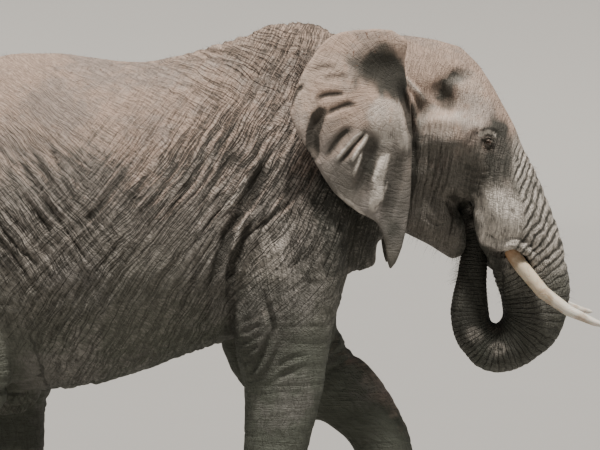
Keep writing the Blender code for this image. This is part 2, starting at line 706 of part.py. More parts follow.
def divide(body, group, cutters):
    """Cut the body into nodes; what is left is the torso."""
    nodes = []
    for name, planes in divisions():
        node = copied(body, name, group)
        inner = wedge("inner", planes, 0.0, cutters)
        outer = wedge("outer", planes, GAP, cutters)
        if name == "trunk_tip":
            within_mouth(inner, 0.0, cutters)
            within_mouth(outer, GAP, cutters)
        cut(node, inner, "INTERSECT")
        cut(body, outer)
        drop(inner)
        drop(outer)
        nodes.append(node)
    body.name = "torso"
    nodes.append(body)
    return nodes


def paint(obj):
    """Give a node its own material."""
    words = {"trunk": "trunk", "leg": "leg", "foot": "leg", "ear": "ear", "tusk": "ivory",
             "eye": "eye", "brush": "hair"}
    kind = next((value for key, value in words.items() if key in obj.name), "skin")
    obj.data.materials.clear()
    obj.data.materials.append(material(f"{obj.name}_{kind}", *COLOURS[kind]))


def bring_to_size(nodes):
    """Scale to the life size, with the middle of the box over the origin."""
    corners = np.array([corner for node in nodes for corner in node.bound_box])
    middle = (corners.min(axis=0) + corners.max(axis=0)) / 2
    slide = Matrix.Translation((-middle[0], -middle[1], 0))
    for node in nodes:
        node.data.transform(Matrix.Scale(LIFE_SCALE, 4) @ slide)
    print(f"slid by {-middle[0]:.4f} {-middle[1]:.4f}")


def build():
    """Model the elephant."""
    clear_scene()
    animal = collection("elephant")
    cutters = collection("cutters")
    cutters.hide_render = True
    body = build_body(cutters)
    nodes = []
    for word, side in (("left", 1), ("right", -1)):
        nodes.append(tusk(f"{word}_tusk", side, body, animal, cutters))
        nodes.append(eye(f"{word}_eye", side, body, animal, cutters))
    grown = grown_body(body, BODY_SKIN, cutters)
    for word, side in (("left", 1), ("right", -1)):
        nodes.append(ear(f"{word}_ear", side, animal, cutters))
    nodes.append(tube("tail", TAIL, animal, TAIL_SIDES, 2, ROUND_POWER))
    for node in nodes[-3:]:
        cut(node, grown)
    brush = tube("tail_brush", TAIL_BRUSH, animal, TAIL_SIDES, 1, ROUND_POWER)
    brush.data.transform(Matrix.Translation((0, 0, -GAP)))
    nodes.append(brush)
    drop(grown)
    body_parts = divide(body, animal, cutters)
    cutters.objects.unlink(body)
    animal.objects.link(body)
    nodes += body_parts
    for node in nodes:
        paint(node)
    bring_to_size(nodes)
    return nodes


build()
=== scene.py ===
"""A walking African bush elephant: skin, eyes, ivory, nails and hair round the packed frame.

Metres, +Z up. It faces +X and its left side is +Y.
"""

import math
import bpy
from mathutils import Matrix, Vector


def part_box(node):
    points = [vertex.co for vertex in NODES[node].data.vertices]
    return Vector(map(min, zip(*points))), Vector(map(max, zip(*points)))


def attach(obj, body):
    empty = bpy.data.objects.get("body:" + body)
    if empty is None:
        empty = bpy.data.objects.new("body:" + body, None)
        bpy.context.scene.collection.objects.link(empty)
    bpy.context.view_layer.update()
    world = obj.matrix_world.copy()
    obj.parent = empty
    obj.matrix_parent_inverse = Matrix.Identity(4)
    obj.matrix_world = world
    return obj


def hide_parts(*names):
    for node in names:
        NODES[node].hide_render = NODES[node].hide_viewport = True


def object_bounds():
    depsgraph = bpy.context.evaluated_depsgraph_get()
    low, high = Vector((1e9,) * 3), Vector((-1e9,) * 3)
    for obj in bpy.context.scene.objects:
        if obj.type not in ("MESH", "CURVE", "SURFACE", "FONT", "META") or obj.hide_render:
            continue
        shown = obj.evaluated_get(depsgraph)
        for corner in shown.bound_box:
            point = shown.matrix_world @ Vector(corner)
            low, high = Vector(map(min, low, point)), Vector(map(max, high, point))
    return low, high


bl_info = {
    "name": "Walking elephant",
    "version": (1, 0, 0),
    "blender": (4, 5, 0),
    "location": "3D View > Sidebar > Elephant",
    "description": "Gives a life-size elephant its skin, eyes, ivory, nails and hair",
    "category": "Object",
}

import bmesh
import bpy
import numpy as np
from bpy.props import FloatProperty, FloatVectorProperty, IntProperty, PointerProperty
from mathutils import Matrix, Vector
from mathutils.bvhtree import BVHTree

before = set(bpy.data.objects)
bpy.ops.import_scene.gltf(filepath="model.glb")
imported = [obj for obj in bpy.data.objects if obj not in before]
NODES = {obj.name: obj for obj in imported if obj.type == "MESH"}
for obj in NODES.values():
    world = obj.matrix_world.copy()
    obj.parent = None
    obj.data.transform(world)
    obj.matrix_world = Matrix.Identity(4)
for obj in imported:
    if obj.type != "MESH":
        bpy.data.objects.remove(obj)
CAD_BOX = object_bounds()
BODY = "root"
SIDES = ("left", "right")

# ------------------------------------------------------------------ the frame's own places
LOW, HIGH = Vector(CAD_BOX[0]), Vector(CAD_BOX[1])
TALL = HIGH.z - LOW.z
SEPARATE = ("left_eye", "right_eye", "left_tusk", "right_tusk", "tail_brush")
FLESH = [name for name in sorted(NODES) if name not in SEPARATE]
LIMBS = [(f"{side}_{end}leg", f"{side}_{end}foot") for end in ("fore", "hind") for side in SIDES]
REGIONS = {
    "ear": ("left_ear", "right_ear"),
    "trunk": ("trunk_upper", "trunk_bend_front", "trunk_bend_rear", "trunk_rise", "trunk_tip"),
    "head": ("head", "lower_jaw"),
    "limb": [name for limb in LIMBS for name in limb],
    "mouth": ("trunk_tip", "trunk_rise", "lower_jaw"),
}

# The middle line of the trunk from its root to its tip, in x and z.
TRUNK_LINE = ((1.41, 2.28), (1.49, 2.08), (1.58, 1.90), (1.65, 1.72), (1.695, 1.56), (1.69, 1.39),
              (1.60, 1.275), (1.48, 1.24), (1.40, 1.30), (1.355, 1.40), (1.355, 1.51),
              (1.365, 1.62), (1.37, 1.73), (1.374, 1.83), (1.353, 1.93), (1.32, 2.00))

# How the skin's folds run over the side of the body: x, z, then their angle from level in
# degrees. Those of the front lean one way and those of the rear the other, and they cross.
FRONT_GRAIN = (
    (-1.30, 2.30, 38), (-0.95, 1.90, 36), (-0.70, 2.60, 52), (-0.40, 2.20, 47), (-0.40, 1.95, 42),
    (-0.80, 1.45, 62), (-0.45, 1.50, 62), (-0.10, 2.70, 50), (-0.10, 2.25, 50), (-0.12, 1.85, 54),
    (-0.10, 1.50, 65), (0.20, 2.80, 55), (0.18, 2.40, 59), (0.15, 2.00, 60), (0.05, 1.55, 72),
    (0.40, 2.20, 60), (0.33, 1.92, 42), (0.36, 1.75, 34), (0.30, 1.60, 30), (0.53, 1.98, 74),
    (0.55, 1.80, 80), (0.60, 2.50, 70), (0.80, 2.80, 88), (0.85, 2.10, 84), (0.90, 1.80, 80),
    (1.20, 2.30, 84), (1.40, 2.70, 60),
)
REAR_GRAIN = (
    (-1.95, 2.10, 95), (-1.70, 2.55, 130), (-1.60, 1.90, 112), (-1.55, 1.30, 95), (-1.10, 2.75, 160),
    (-1.05, 2.25, 128), (-1.00, 1.90, 134), (-1.10, 1.35, 112), (-0.72, 2.15, 128), (-0.60, 2.60, 165),
    (-0.40, 2.75, 174), (-0.40, 2.45, 174), (-0.70, 1.80, 125), (-0.05, 2.82, 165), (0.15, 2.78, 155),
    (0.10, 2.50, 165), (0.34, 1.90, 122), (0.37, 1.72, 112), (0.38, 1.55, 102), (1.10, 2.70, 78),
    (1.20, 2.45, 85), (1.32, 2.60, 68), (1.20, 2.20, 95),
)
# How deep the folds are: x, z, then the depth of the front's folds and of the rear's, from 0 to 1.
FOLD_DEPTHS = (
    (-1.95, 2.10, 0.0, 0.3), (-1.60, 1.90, 0.0, 0.5), (-1.55, 1.30, 0.1, 0.5), (-1.60, 2.70, 0.0, 0.10),
    (-1.10, 2.70, 0.0, 0.10), (-1.05, 2.25, 0.05, 0.35), (-1.00, 1.92, 0.25, 0.9),
    (-1.10, 1.40, 0.4, 0.3), (-0.70, 2.60, 0.05, 0.12), (-0.75, 2.20, 0.15, 0.45),
    (-0.72, 1.92, 0.6, 0.7), (-0.75, 1.50, 0.6, 0.1), (-0.40, 2.60, 0.12, 0.18),
    (-0.42, 2.25, 0.6, 0.15), (-0.40, 1.97, 0.8, 0.1), (-0.45, 1.50, 0.35, 0.0),
    (-0.10, 2.70, 0.08, 0.55), (-0.10, 2.25, 1.0, 0.0), (-0.15, 1.85, 0.50, 0.0),
    (-0.10, 1.45, 0.40, 0.0), (0.10, 2.80, 0.15, 0.80), (0.35, 2.76, 0.80, 0.3), (0.18, 2.40, 1.0, 0.0),
    (0.15, 2.05, 0.9, 0.0), (0.05, 1.55, 0.6, 0.0), (0.40, 2.20, 0.9, 0.0), (0.34, 1.92, 1.0, 0.5),
    (0.36, 1.74, 0.9, 0.9), (0.33, 1.58, 0.35, 0.35), (0.54, 1.90, 0.45, 0.0), (0.50, 1.62, 0.25, 0.0),
    (0.25, 1.32, 0.2, 0.0), (0.60, 2.50, 0.35, 0.0), (0.80, 2.80, 0.3, 0.0), (0.85, 2.10, 0.7, 0.0),
    (0.90, 1.80, 0.5, 0.0), (1.30, 2.30, 0.35, 0.0),
)
GRAIN_REACH = 0.24      # how far one row of the grain is felt
GRAIN_CELL = 0.12
GRAIN_MARGIN = 0.1
SPACING_HELD = 0.5      # how firmly the folds keep their spacing where they would fan out
SLOPE_EVENNESS = 1e-3   # how firmly neighbouring cells of the grain keep one height
LEVEL_HELD = 1e-7
WEIGHT_SPAN = 30        # beyond this, centres count as equally far
FAR = 9.0               # metres, further than any place on the body


# ------------------------------------------------------------------ small tools
def new_object(name, mesh):
    """Put a mesh in the scene as an object at the origin."""
    obj = bpy.data.objects.new(name, mesh)
    bpy.context.scene.collection.objects.link(obj)
    return obj


def from_bmesh(name, bm):
    """Turn a bmesh into an object with its faces outward."""
    bmesh.ops.recalc_face_normals(bm, faces=bm.faces)
    mesh = bpy.data.meshes.new(name)
    bm.to_mesh(mesh)
    bm.free()
    mesh.shade_smooth()
    return new_object(name, mesh)


def modified(obj, kind, **settings):
    """Put a modifier on an object and keep its result as the mesh."""
    modifier = obj.modifiers.new(kind.title(), kind)
    for name, value in settings.items():
        setattr(modifier, name, value)
    graph = bpy.context.evaluated_depsgraph_get()
    mesh = bpy.data.meshes.new_from_object(obj.evaluated_get(graph))
    obj.modifiers.clear()
    old = obj.data
    obj.data = mesh
    bpy.data.meshes.remove(old)
    return obj


def finish_piece(obj, slot, *nodes):
    """Say what a finished piece rides on, and hide the nodes that it stands for."""
    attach(obj, BODY)
    if nodes:
        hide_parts(*nodes)
    return obj


def places(mesh, field="co"):
    """The vertices' places, or another vector of theirs, as an array."""
    out = np.empty(len(mesh.vertices) * 3, np.float32)
    mesh.vertices.foreach_get(field, out)
    return out.reshape(-1, 3).astype(float)


def put_places(mesh, co):
    """Move the vertices to an array of places."""
    mesh.vertices.foreach_set("co", co.astype(np.float32).ravel())
    mesh.update()


def normals(mesh):
    """The vertices' normals as an array."""
    return places(mesh, "normal")


def keep_value(mesh, name, values):
    """Store a number, or a vector, for each vertex."""
    kind, field = ("FLOAT", "value") if values.ndim == 1 else ("FLOAT_VECTOR", "vector")
    layer = mesh.attributes.get(name) or mesh.attributes.new(name, kind, "POINT")
    layer.data.foreach_set(field, values.astype(np.float32).ravel())


def smoothstep(low, high, value):
    """0 below low, 1 above high, and smooth between."""
    share = np.clip((value - low) / (high - low), 0, 1)
    return share * share * (3 - 2 * share)


def curve(points, steps):
    """A smooth line through the given points."""
    keys = np.array(points, float)
    ends = np.vstack([2 * keys[0] - keys[1], keys, 2 * keys[-1] - keys[-2]])
    out = []
    for a, b, c, d in zip(ends, ends[1:], ends[2:], ends[3:]):
        for t in np.arange(steps) / steps:
            out.append(0.5 * (2 * b + (c - a) * t + (2 * a - 5 * b + 4 * c - d) * t * t
                              + (3 * b - a - 3 * c + d) * t ** 3))
    return np.array(out + [keys[-1]])


def hashed(cells, seed):
    """An even random number from 0 to 1 for each whole-number cell."""
    x, y, z = (cells[..., axis].astype(np.int64) for axis in range(3))
    base = (x * 73856093) ^ (y * 19349663) ^ (z * 83492791) ^ (seed * 2654435761)
    value = (base * (1103515245 + 12345) + 974634777) & 0x7FFFFFFF
    value = ((value >> 13) ^ value) * 1274126177 & 0x7FFFFFFF
    return (value % 1000003) / 1000003


def value_noise(points, seed):
    """Smooth random values from -1 to 1 that vary over about one unit."""
    cells = np.floor(points)
    share = points - cells
    share = share * share * (3 - 2 * share)
    total = np.zeros(len(points))
    for corner in np.ndindex(2, 2, 2):
        weight = np.ones(len(points))
        for axis in range(3):
            weight = weight * (share[:, axis] if corner[axis] else 1 - share[:, axis])
        total += weight * hashed(cells + corner, seed)
    return 2 * total - 1


def mound(co, x, z, wide, tall):
    """1 at a place on the side of the body, falling smoothly to 0 round it."""
    return np.exp(-((co[:, 0] - x) / wide) ** 2 - ((co[:, 2] - z) / tall) ** 2)


# ------------------------------------------------------------------ the skin's own directions
LIMB_LINE_ENDS = (0.04, 0.30)   # how far a leg's middle line stops short of its sole and its top
LIMB_STEP = 0.12


def blended(points, centres, values, reach):
    """Values given at a few centres, spread smoothly over other points."""
    away = ((points[:, None, :] - centres[None]) ** 2).sum(axis=2) / reach ** 2
    least = away.min(axis=1, keepdims=True)
    weight = np.exp(-np.minimum(away, least + WEIGHT_SPAN) + least)
    return weight @ values / weight.sum(axis=1)[:, None]


def level_lines(size, ways):
    """Heights on a grid whose level lines run as nearly as they can along the given ways."""
    wide, tall = size
    number = np.arange(wide * tall).reshape(wide, tall)
    corners = [number[:-1, :-1], number[1:, :-1], number[:-1, 1:], number[1:, 1:]]
    signs = ((-0.5, -0.5), (0.5, -0.5), (-0.5, 0.5), (0.5, 0.5))
    across = np.column_stack([ways[:, 1], -ways[:, 0]])
    down_way = [ways @ np.array(sign) for sign in signs]
    down_across = [SPACING_HELD * (across @ np.array(sign)) for sign in signs]
    system = np.eye(wide * tall) * LEVEL_HELD
    target = np.zeros(wide * tall)
    for first, way, cross in zip(corners, down_way, down_across):
        np.add.at(target, first.ravel(), cross * SPACING_HELD * GRAIN_CELL)
        for second, other_way, other_cross in zip(corners, down_way, down_across):
            pull = way * other_way + cross * other_cross
            np.add.at(system, (first.ravel(), second.ravel()), pull)
    for first, second in ((number[:-1], number[1:]), (number[:, :-1], number[:, 1:])):
        for one in (first, second):
            for two in (first, second):
                pull = SLOPE_EVENNESS if one is two else -SLOPE_EVENNESS
                np.add.at(system, (one.ravel(), two.ravel()), pull)
    return np.linalg.solve(system, target).reshape(wide, tall)


class Grain:
    """Coordinates across and along one family of folds, over the side of the body."""

    def __init__(self, rows):
        table = np.array(rows)
        self.low = np.array([LOW.x, LOW.z]) - GRAIN_MARGIN
        high = np.array([HIGH.x, HIGH.z]) + GRAIN_MARGIN
        size = np.ceil((high - self.low) / GRAIN_CELL).astype(int) + 1
        spots = np.stack(np.meshgrid(*(np.arange(n - 1) + 0.5 for n in size), indexing="ij"), axis=-1)
        spots = (self.low + spots * GRAIN_CELL).reshape(-1, 2)
        turns = np.radians(table[:, 2])
        ways = np.column_stack([np.cos(turns), np.sin(turns)])
        ways = blended(spots, table[:, :2], ways, GRAIN_REACH)
        ways /= np.linalg.norm(ways, axis=1)[:, None]
        turned = np.column_stack([-ways[:, 1], ways[:, 0]])
        self.fields = [level_lines(size, ways), level_lines(size, turned)]

    def at(self, co):
        """Across, along and sideways, in metres, for each place."""
        spot = (co[:, [0, 2]] - self.low) / GRAIN_CELL
        cell = np.floor(spot).astype(int)
        share = spot - cell
        share_x, share_z = share[:, 0], share[:, 1]
        out = []
        for field in self.fields:
            x = np.clip(cell[:, 0], 0, field.shape[0] - 2)
            z = np.clip(cell[:, 1], 0, field.shape[1] - 2)
            low = field[x, z] * (1 - share_x) + field[x + 1, z] * share_x
            high = field[x, z + 1] * (1 - share_x) + field[x + 1, z + 1] * share_x
            out.append(low * (1 - share_z) + high * share_z)
        return np.column_stack([*out, co[:, 1]])


def fold_depths(co):
    """How deep the front's and the rear's folds are at each place, from 0 to 1."""
    table = np.array(FOLD_DEPTHS)
    return blended(co[:, [0, 2]], table[:, :2], table[:, 2:], GRAIN_REACH).T


def follow(line, co):
    """How far along a line each place is, and its offsets square to the line."""
    step = np.linalg.norm(np.diff(line, axis=0), axis=1)
    length = np.concatenate([[0], np.cumsum(step)])
    best = np.full(len(co), FAR)
    reached = np.zeros(len(co))
    offset = np.zeros((len(co), 3))
    for start, end, begun, run in zip(line, line[1:], length, step):
        way = (end - start) / run
        share = np.clip((co - start) @ way, 0, run)
        apart = co - start - share[:, None] * way
        away = np.linalg.norm(apart, axis=1)
        nearer = away < best
        best[nearer] = away[nearer]
        reached[nearer] = (begun + share)[nearer]
        offset[nearer] = apart[nearer]
    return reached, offset, best


def slice_middles(co, axis, levels, reach):
    """The middle of a solid at several levels along an axis."""
    line = []
    for level in levels:
        band = co[np.abs(co[:, axis] - level) < reach]
        if len(band):
            middle = (band.min(axis=0) + band.max(axis=0)) / 2
            middle[axis] = level
            line.append(middle)
    return np.array(line)


def limb_line(nodes):
    """The middle line of a leg, from the top down."""
    co = np.vstack([places(NODES[name].data) for name in nodes])
    low = co[:, 2].min() + LIMB_LINE_ENDS[0]
    high = co[:, 2].max() - LIMB_LINE_ENDS[1]
    return slice_middles(co, 2, np.arange(low, high, LIMB_STEP), LIMB_STEP * 0.75)[::-1]


def nearest_nodes(co):
    """Which node of flesh each place lies on, as its number in FLESH."""
    corners, triangles, owners = [], [], []
    count = 0
    for number, name in enumerate(FLESH):
        mesh = NODES[name].data
        mesh.calc_loop_triangles()
        own = places(mesh)
        corners.append(own)
        triangles += [tuple(count + vertex for vertex in triangle.vertices)
                      for triangle in mesh.loop_triangles]
        owners += [number] * len(mesh.loop_triangles)
        count += len(own)
    tree = BVHTree.FromPolygons(np.vstack(corners).tolist(), triangles)
    nearest = [tree.find_nearest(place)[2] for place in co]
    return np.array(owners)[nearest]


# ------------------------------------------------------------------ sculpting
# Folds on the body. Each row has a half width and a height in metres (a crease is below 0) and
# the line in x and z. A row for several folds has their number, and the first and last line.
BODY_FOLDS = (
    (0.022, -0.036, ((0.195, 1.985), (0.163, 1.904), (0.142, 1.834), (0.108, 1.758), (0.080, 1.689),
        (0.078, 1.55), (0.09, 1.40), (0.10, 1.26))),
    (0.020, -0.024, ((0.265, 2.290), (0.212, 2.188), (0.177, 2.105), (0.142, 2.042), (0.108, 1.966),
        (0.073, 1.910), (0.042, 1.834), (0.011, 1.737), (-0.017, 1.661), (-0.060, 1.540))),
    (0.032, -0.020, ((0.262, 2.26), (0.215, 2.15), (0.180, 2.06), (0.150, 1.97))),
    (0.017, 0.018, ((0.190, 2.222), (0.130, 2.120), (0.070, 2.040), (0.000, 1.955))),
    (0.015, 0.016, ((0.172, 2.000), (0.132, 1.910), (0.100, 1.830), (0.070, 1.750))),
    (0.014, -0.014, ((0.44, 2.10), (0.392, 2.057), (0.290, 1.970), (0.191, 1.876))),
    (0.018, -0.008, 2, ((-0.06, 1.80), (-0.11, 1.66), (-0.17, 1.50), (-0.21, 1.38)),
        ((0.00, 1.62), (-0.03, 1.53), (-0.05, 1.44), (-0.06, 1.37))),
    (0.017, -0.009, 7, ((-0.44, 2.24), (-0.52, 2.12), (-0.62, 1.99), (-0.71, 1.90)),
        ((0.44, 2.58), (0.37, 2.37), (0.28, 2.19), (0.10, 1.92))),
    (0.019, -0.008, 4, ((-1.11, 2.24), (-1.01, 2.09), (-0.88, 1.95), (-0.79, 1.88)),
        ((-0.89, 2.42), (-0.82, 2.24), (-0.72, 2.06), (-0.61, 1.93))),
)
ELBOW_FOLDS = (
    (0.018, -0.022, ((0.235, 1.62), (0.262, 1.537), (0.296, 1.398), (0.262, 1.282), (0.204, 1.189),
        (0.150, 1.12))),
    (0.016, -0.008, ((0.28, 1.62), (0.33, 1.49), (0.34, 1.36), (0.31, 1.24), (0.23, 1.12))),
    (0.013, -0.014, ((-1.30, 1.02), (-1.114, 1.062), (-1.00, 1.082), (-0.88, 1.10))),
    (0.013, -0.016, ((-1.30, 0.945), (-1.114, 0.935), (-1.00, 0.946), (-0.92, 0.985), (-0.885, 1.06))),
    (0.026, 0.012, ((-1.30, 0.99), (-1.114, 1.00), (-1.00, 1.015), (-0.91, 1.04))),
    (0.014, -0.006, 7, ((0.12, 1.42), (0.18, 1.44), (0.25, 1.48)),
        ((0.14, 1.10), (0.18, 1.11), (0.22, 1.15))),
    (0.014, -0.006, 2, ((0.26, 1.15), (0.36, 1.22), (0.44, 1.25), (0.52, 1.25)),
        ((0.24, 1.07), (0.34, 1.14), (0.44, 1.19), (0.50, 1.22))),
)
HEAD_FOLDS = (
    (0.010, -0.009, 6, ((1.07, 2.37), (1.055, 2.21), (1.03, 2.07), (1.00, 1.91)),
        ((1.24, 2.37), (1.22, 2.22), (1.19, 2.11), (1.14, 1.97))),
    (0.008, -0.005, 9, ((1.10, 2.47), (1.09, 2.40), (1.075, 2.34)),
        ((1.33, 2.49), (1.30, 2.42), (1.26, 2.36))),
    (0.006, -0.005, 4, ((1.30, 2.33), (1.33, 2.36), (1.37, 2.39)),
        ((1.34, 2.40), (1.365, 2.425), (1.39, 2.445))),
    (0.010, -0.005, 4, ((1.28, 2.25), (1.36, 2.21), (1.46, 2.21)),
        ((1.27, 2.16), (1.33, 2.12), (1.39, 2.10))),
    (0.014, -0.020, ((1.21, 2.07), (1.245, 2.00), (1.25, 1.92), (1.22, 1.84))),
    (0.018, 0.024, ((1.40, 1.828), (1.50, 1.808), (1.565, 1.822), (1.64, 1.785), (1.70, 1.71))),
    (0.013, -0.018, ((1.40, 1.785), (1.50, 1.762), (1.57, 1.772), (1.63, 1.735), (1.68, 1.67))),
    (0.012, -0.008, ((1.10, 1.98), (1.15, 1.93), (1.21, 1.915))),
    (0.014, 0.020, ((0.945, 2.74), (1.00, 2.69), (1.05, 2.635), (1.116, 2.56))),
    (0.026, -0.010, ((1.04, 2.62), (1.07, 2.54), (1.06, 2.44))),
)
EAR_FOLDS = (
    (0.013, -0.014, ((0.385, 2.52), (0.410, 2.600), (0.470, 2.675))),
    (0.030, -0.044, ((0.561, 2.55), (0.519, 2.455), (0.507, 2.371), (0.519, 2.25))),
    (0.017, -0.012, ((0.515, 2.575), (0.574, 2.605), (0.690, 2.614))),
    (0.018, -0.013, ((0.560, 2.495), (0.616, 2.530), (0.667, 2.550), (0.740, 2.565))),
    (0.022, -0.008, ((0.50, 2.73), (0.57, 2.745), (0.66, 2.75))),
    (0.020, -0.008, ((0.55, 2.685), (0.62, 2.70), (0.70, 2.69))),
    (0.021, -0.020, ((0.560, 2.265), (0.641, 2.375), (0.715, 2.450))),
    (0.014, 0.016, ((0.610, 2.25), (0.684, 2.329), (0.743, 2.392), (0.790, 2.43))),
    (0.017, -0.018, ((0.640, 2.250), (0.717, 2.350), (0.795, 2.430))),
    (0.014, 0.016, ((0.695, 2.24), (0.734, 2.304), (0.768, 2.354), (0.800, 2.42))),
    (0.010, 0.012, ((0.710, 2.17), (0.743, 2.245), (0.766, 2.325))),
    (0.036, -0.026, ((0.830, 2.42), (0.805, 2.30), (0.775, 2.17), (0.74, 2.05))),
    (0.030, 0.030, ((0.905, 2.33), (0.856, 2.220), (0.831, 2.144), (0.826, 2.068), (0.79, 1.96))),
    (0.030, -0.022, ((0.965, 2.34), (0.945, 2.16), (0.900, 2.00), (0.87, 1.88))),
    (0.040, 0.014, ((0.78, 2.58), (0.88, 2.585), (0.95, 2.50), (0.99, 2.40), (1.01, 2.28))),
)
SLIT = (0.022, -0.036, ((0.96, 2.71), (0.985, 2.60), (1.01, 2.49), (1.03, 2.37), (1.035, 2.20)))
# Broad hollows and swellings: x, z, half width, half height and height, in metres.
HEAD_FORMS = (
    (1.215, 2.580, 0.050, 0.055, -0.036), (1.175, 2.640, 0.055, 0.045, -0.022),
    (1.27, 2.715, 0.060, 0.040, -0.024), (1.32, 2.17, 0.08, 0.10, -0.026),
    (1.19, 2.28, 0.13, 0.09, -0.018), (1.20, 2.47, 0.10, 0.035, 0.016), (1.43, 2.43, 0.06, 0.02, 0.012),
    (1.51, 1.97, 0.10, 0.12, 0.024), (1.42, 1.74, 0.07, 0.07, -0.020), (1.12, 2.68, 0.05, 0.06, 0.012),
    (1.09, 2.52, 0.04, 0.06, -0.014), (1.50, 2.25, 0.05, 0.10, -0.010),
)
EAR_FORMS = ((0.865, 2.745, 0.105, 0.09, -0.048), (0.88, 2.48, 0.085, 0.10, 0.034),
             (0.70, 2.12, 0.14, 0.12, -0.014))
# Places that are drawn along: the nodes, then x, z, half width, half height, and the move.
DRAWN = (
    (("lower_jaw", "head"), (1.30, 1.85, 0.07, 0.17), (0.042, 0, 0.0)),
    (("lower_jaw",), (1.30, 1.76, 0.07, 0.06), (0.012, 0, -0.016)),
    (("left_ear", "right_ear"), (0.95, 2.88, 0.07, 0.06), (0.032, 0, 0.003)),
)
LEFT_ELBOW_SHIFT = 0.30     # how much further forward the left elbow is than the right
LINE_STEPS = 6
FOLD_REACH = 4              # half widths within which a fold is worked out
FOLD_FADE = 0.3             # the share of its length over which each end of a fold fades
LIP_PLACE, LIP_WIDTH = 2, 0.8       # where the lips beside a fold stand, in half widths
CREASE_LEVEL = 0.6          # how much of a fold's height lies below the skin
BODY_FOLD_SIZE = (0.036, 0.50, 0.30)
SMALL_FOLD_SIZE = (0.021, 0.22, 0.15)
FOLD_EDGE = 0.45            # how soft the edges of those folds are
LIMB_FOLD_SIZE = (0.05, 0.20, 0.20)
LIMB_FOLD_HEIGHT = 0.0030
TRUNK_RIDGE_HEIGHT = 0.0070
TRUNK_RING_HEIGHT = 0.0035
UPPER_TRUNK_UP, UPPER_TRUNK_AHEAD = (1.45, 1.70), (1.40, 1.50)      # where its ridges are high
SKIN_UNEVENNESS = 0.004
EAR_UNEVENNESS = 0.005
SOLE_BAND = 0.06            # the height above the sole over which the folds fade
FINE_EDGE = 0.018           # the longest edge that the ears and the face keep
FINE_FACE = (1.05, 2.10, 2.80)      # the face's rear, low and high edge
EYE_CLEARANCE = 0.12        # how far from the eye that finer mesh stops


def fold_line(co, points, half, lip=0.35):
    """How strongly a soft line in x and z marks each place, with a low lip at its sides."""
    line = curve([(x, 0, z) for x, z in points], LINE_STEPS)
    flat = co * (1, 0, 1)
    reach = half * FOLD_REACH
    near = (flat > line.min(axis=0) - reach) & (flat < line.max(axis=0) + reach)
    near = near[:, [0, 2]].all(axis=1)
    out = np.zeros(len(co))
    if not near.any():
        return out
    run, _, away = follow(line, flat[near])
    share = run / np.linalg.norm(np.diff(line, axis=0), axis=1).sum()
    ends = smoothstep(0, FOLD_FADE, share) * smoothstep(0, FOLD_FADE, 1 - share)
    lips = lip * np.exp(-((away / half - LIP_PLACE) / LIP_WIDTH) ** 2)
    out[near] = ends * (np.exp(-(away / half) ** 2) - lips)
    return out


def fold_heights(co, rows, lip=0.35):
    """The height that a table of folds gives each place."""
    out = np.zeros(len(co))
    for half, height, *lines in rows:
        count, first, last = lines if len(lines) > 1 else (1, lines[0], lines[0])
        for number in range(count):
            share = number / max(count - 1, 1)
            line = np.array(first) * (1 - share) + np.array(last) * share
            out += height * fold_line(co, line, half, lip)
    return out


def form_heights(co, rows):
    """The height that a table of broad hollows and swellings gives each place."""
    out = np.zeros(len(co))
    for *place, height in rows:
        out += height * mound(co, *place)
    return out


def ridged(turns, width):
    """Even ridges, one for each turn: below 0 in the crease between two, above 0 on a ridge."""
    return smoothstep(0, width, 0.5 - np.abs(turns % 1 - 0.5)) - CREASE_LEVEL


def creased(coordinates, size, width, seed):
    """Long folds between creases: below 0 in a crease, above 0 on a fold."""
    return smoothstep(0, width, np.abs(value_noise(coordinates / size, seed))) - CREASE_LEVEL


# ------------------------------------------------------------------ the skin's places
TRUNK_LEAN_RUN = 1.0        # over this length of the trunk its rings turn from level to square
RING_CELL = 0.03
RING_RUN = (-0.6, 3.0, 73)  # from where to where rings are counted along the trunk, and the steps
RING_SPACING = ((0.05, 0.40, 0.9, 1.3, 2.0), (0.024, 0.042, 0.032, 0.020, 0.019))
LIMB_STRETCH = 1.3          # how much closer than wide the creases of a leg lie
TAIL_STRETCH = 1.6
EAR_ROOT = (0.98, 0, 2.62)  # where the ear's creases fan out from
EAR_STRETCH = (0.40, 0.8, 0.3)      # round the root, away from it and through the ear
RIDGED_FRONT = (1.535, 1.60)
RIDGED_TOP = (2.46, 2.28)
TUSK_SOCKET = (1.495, 1.965, 0.125, 0.18)   # x, z, half width and half height
SPREAD_OF_LIMBS = 60        # passes that soften where the legs' marks end
NODE_OVERLAP = 0.0008       # how far the nodes are swollen, so that they meet


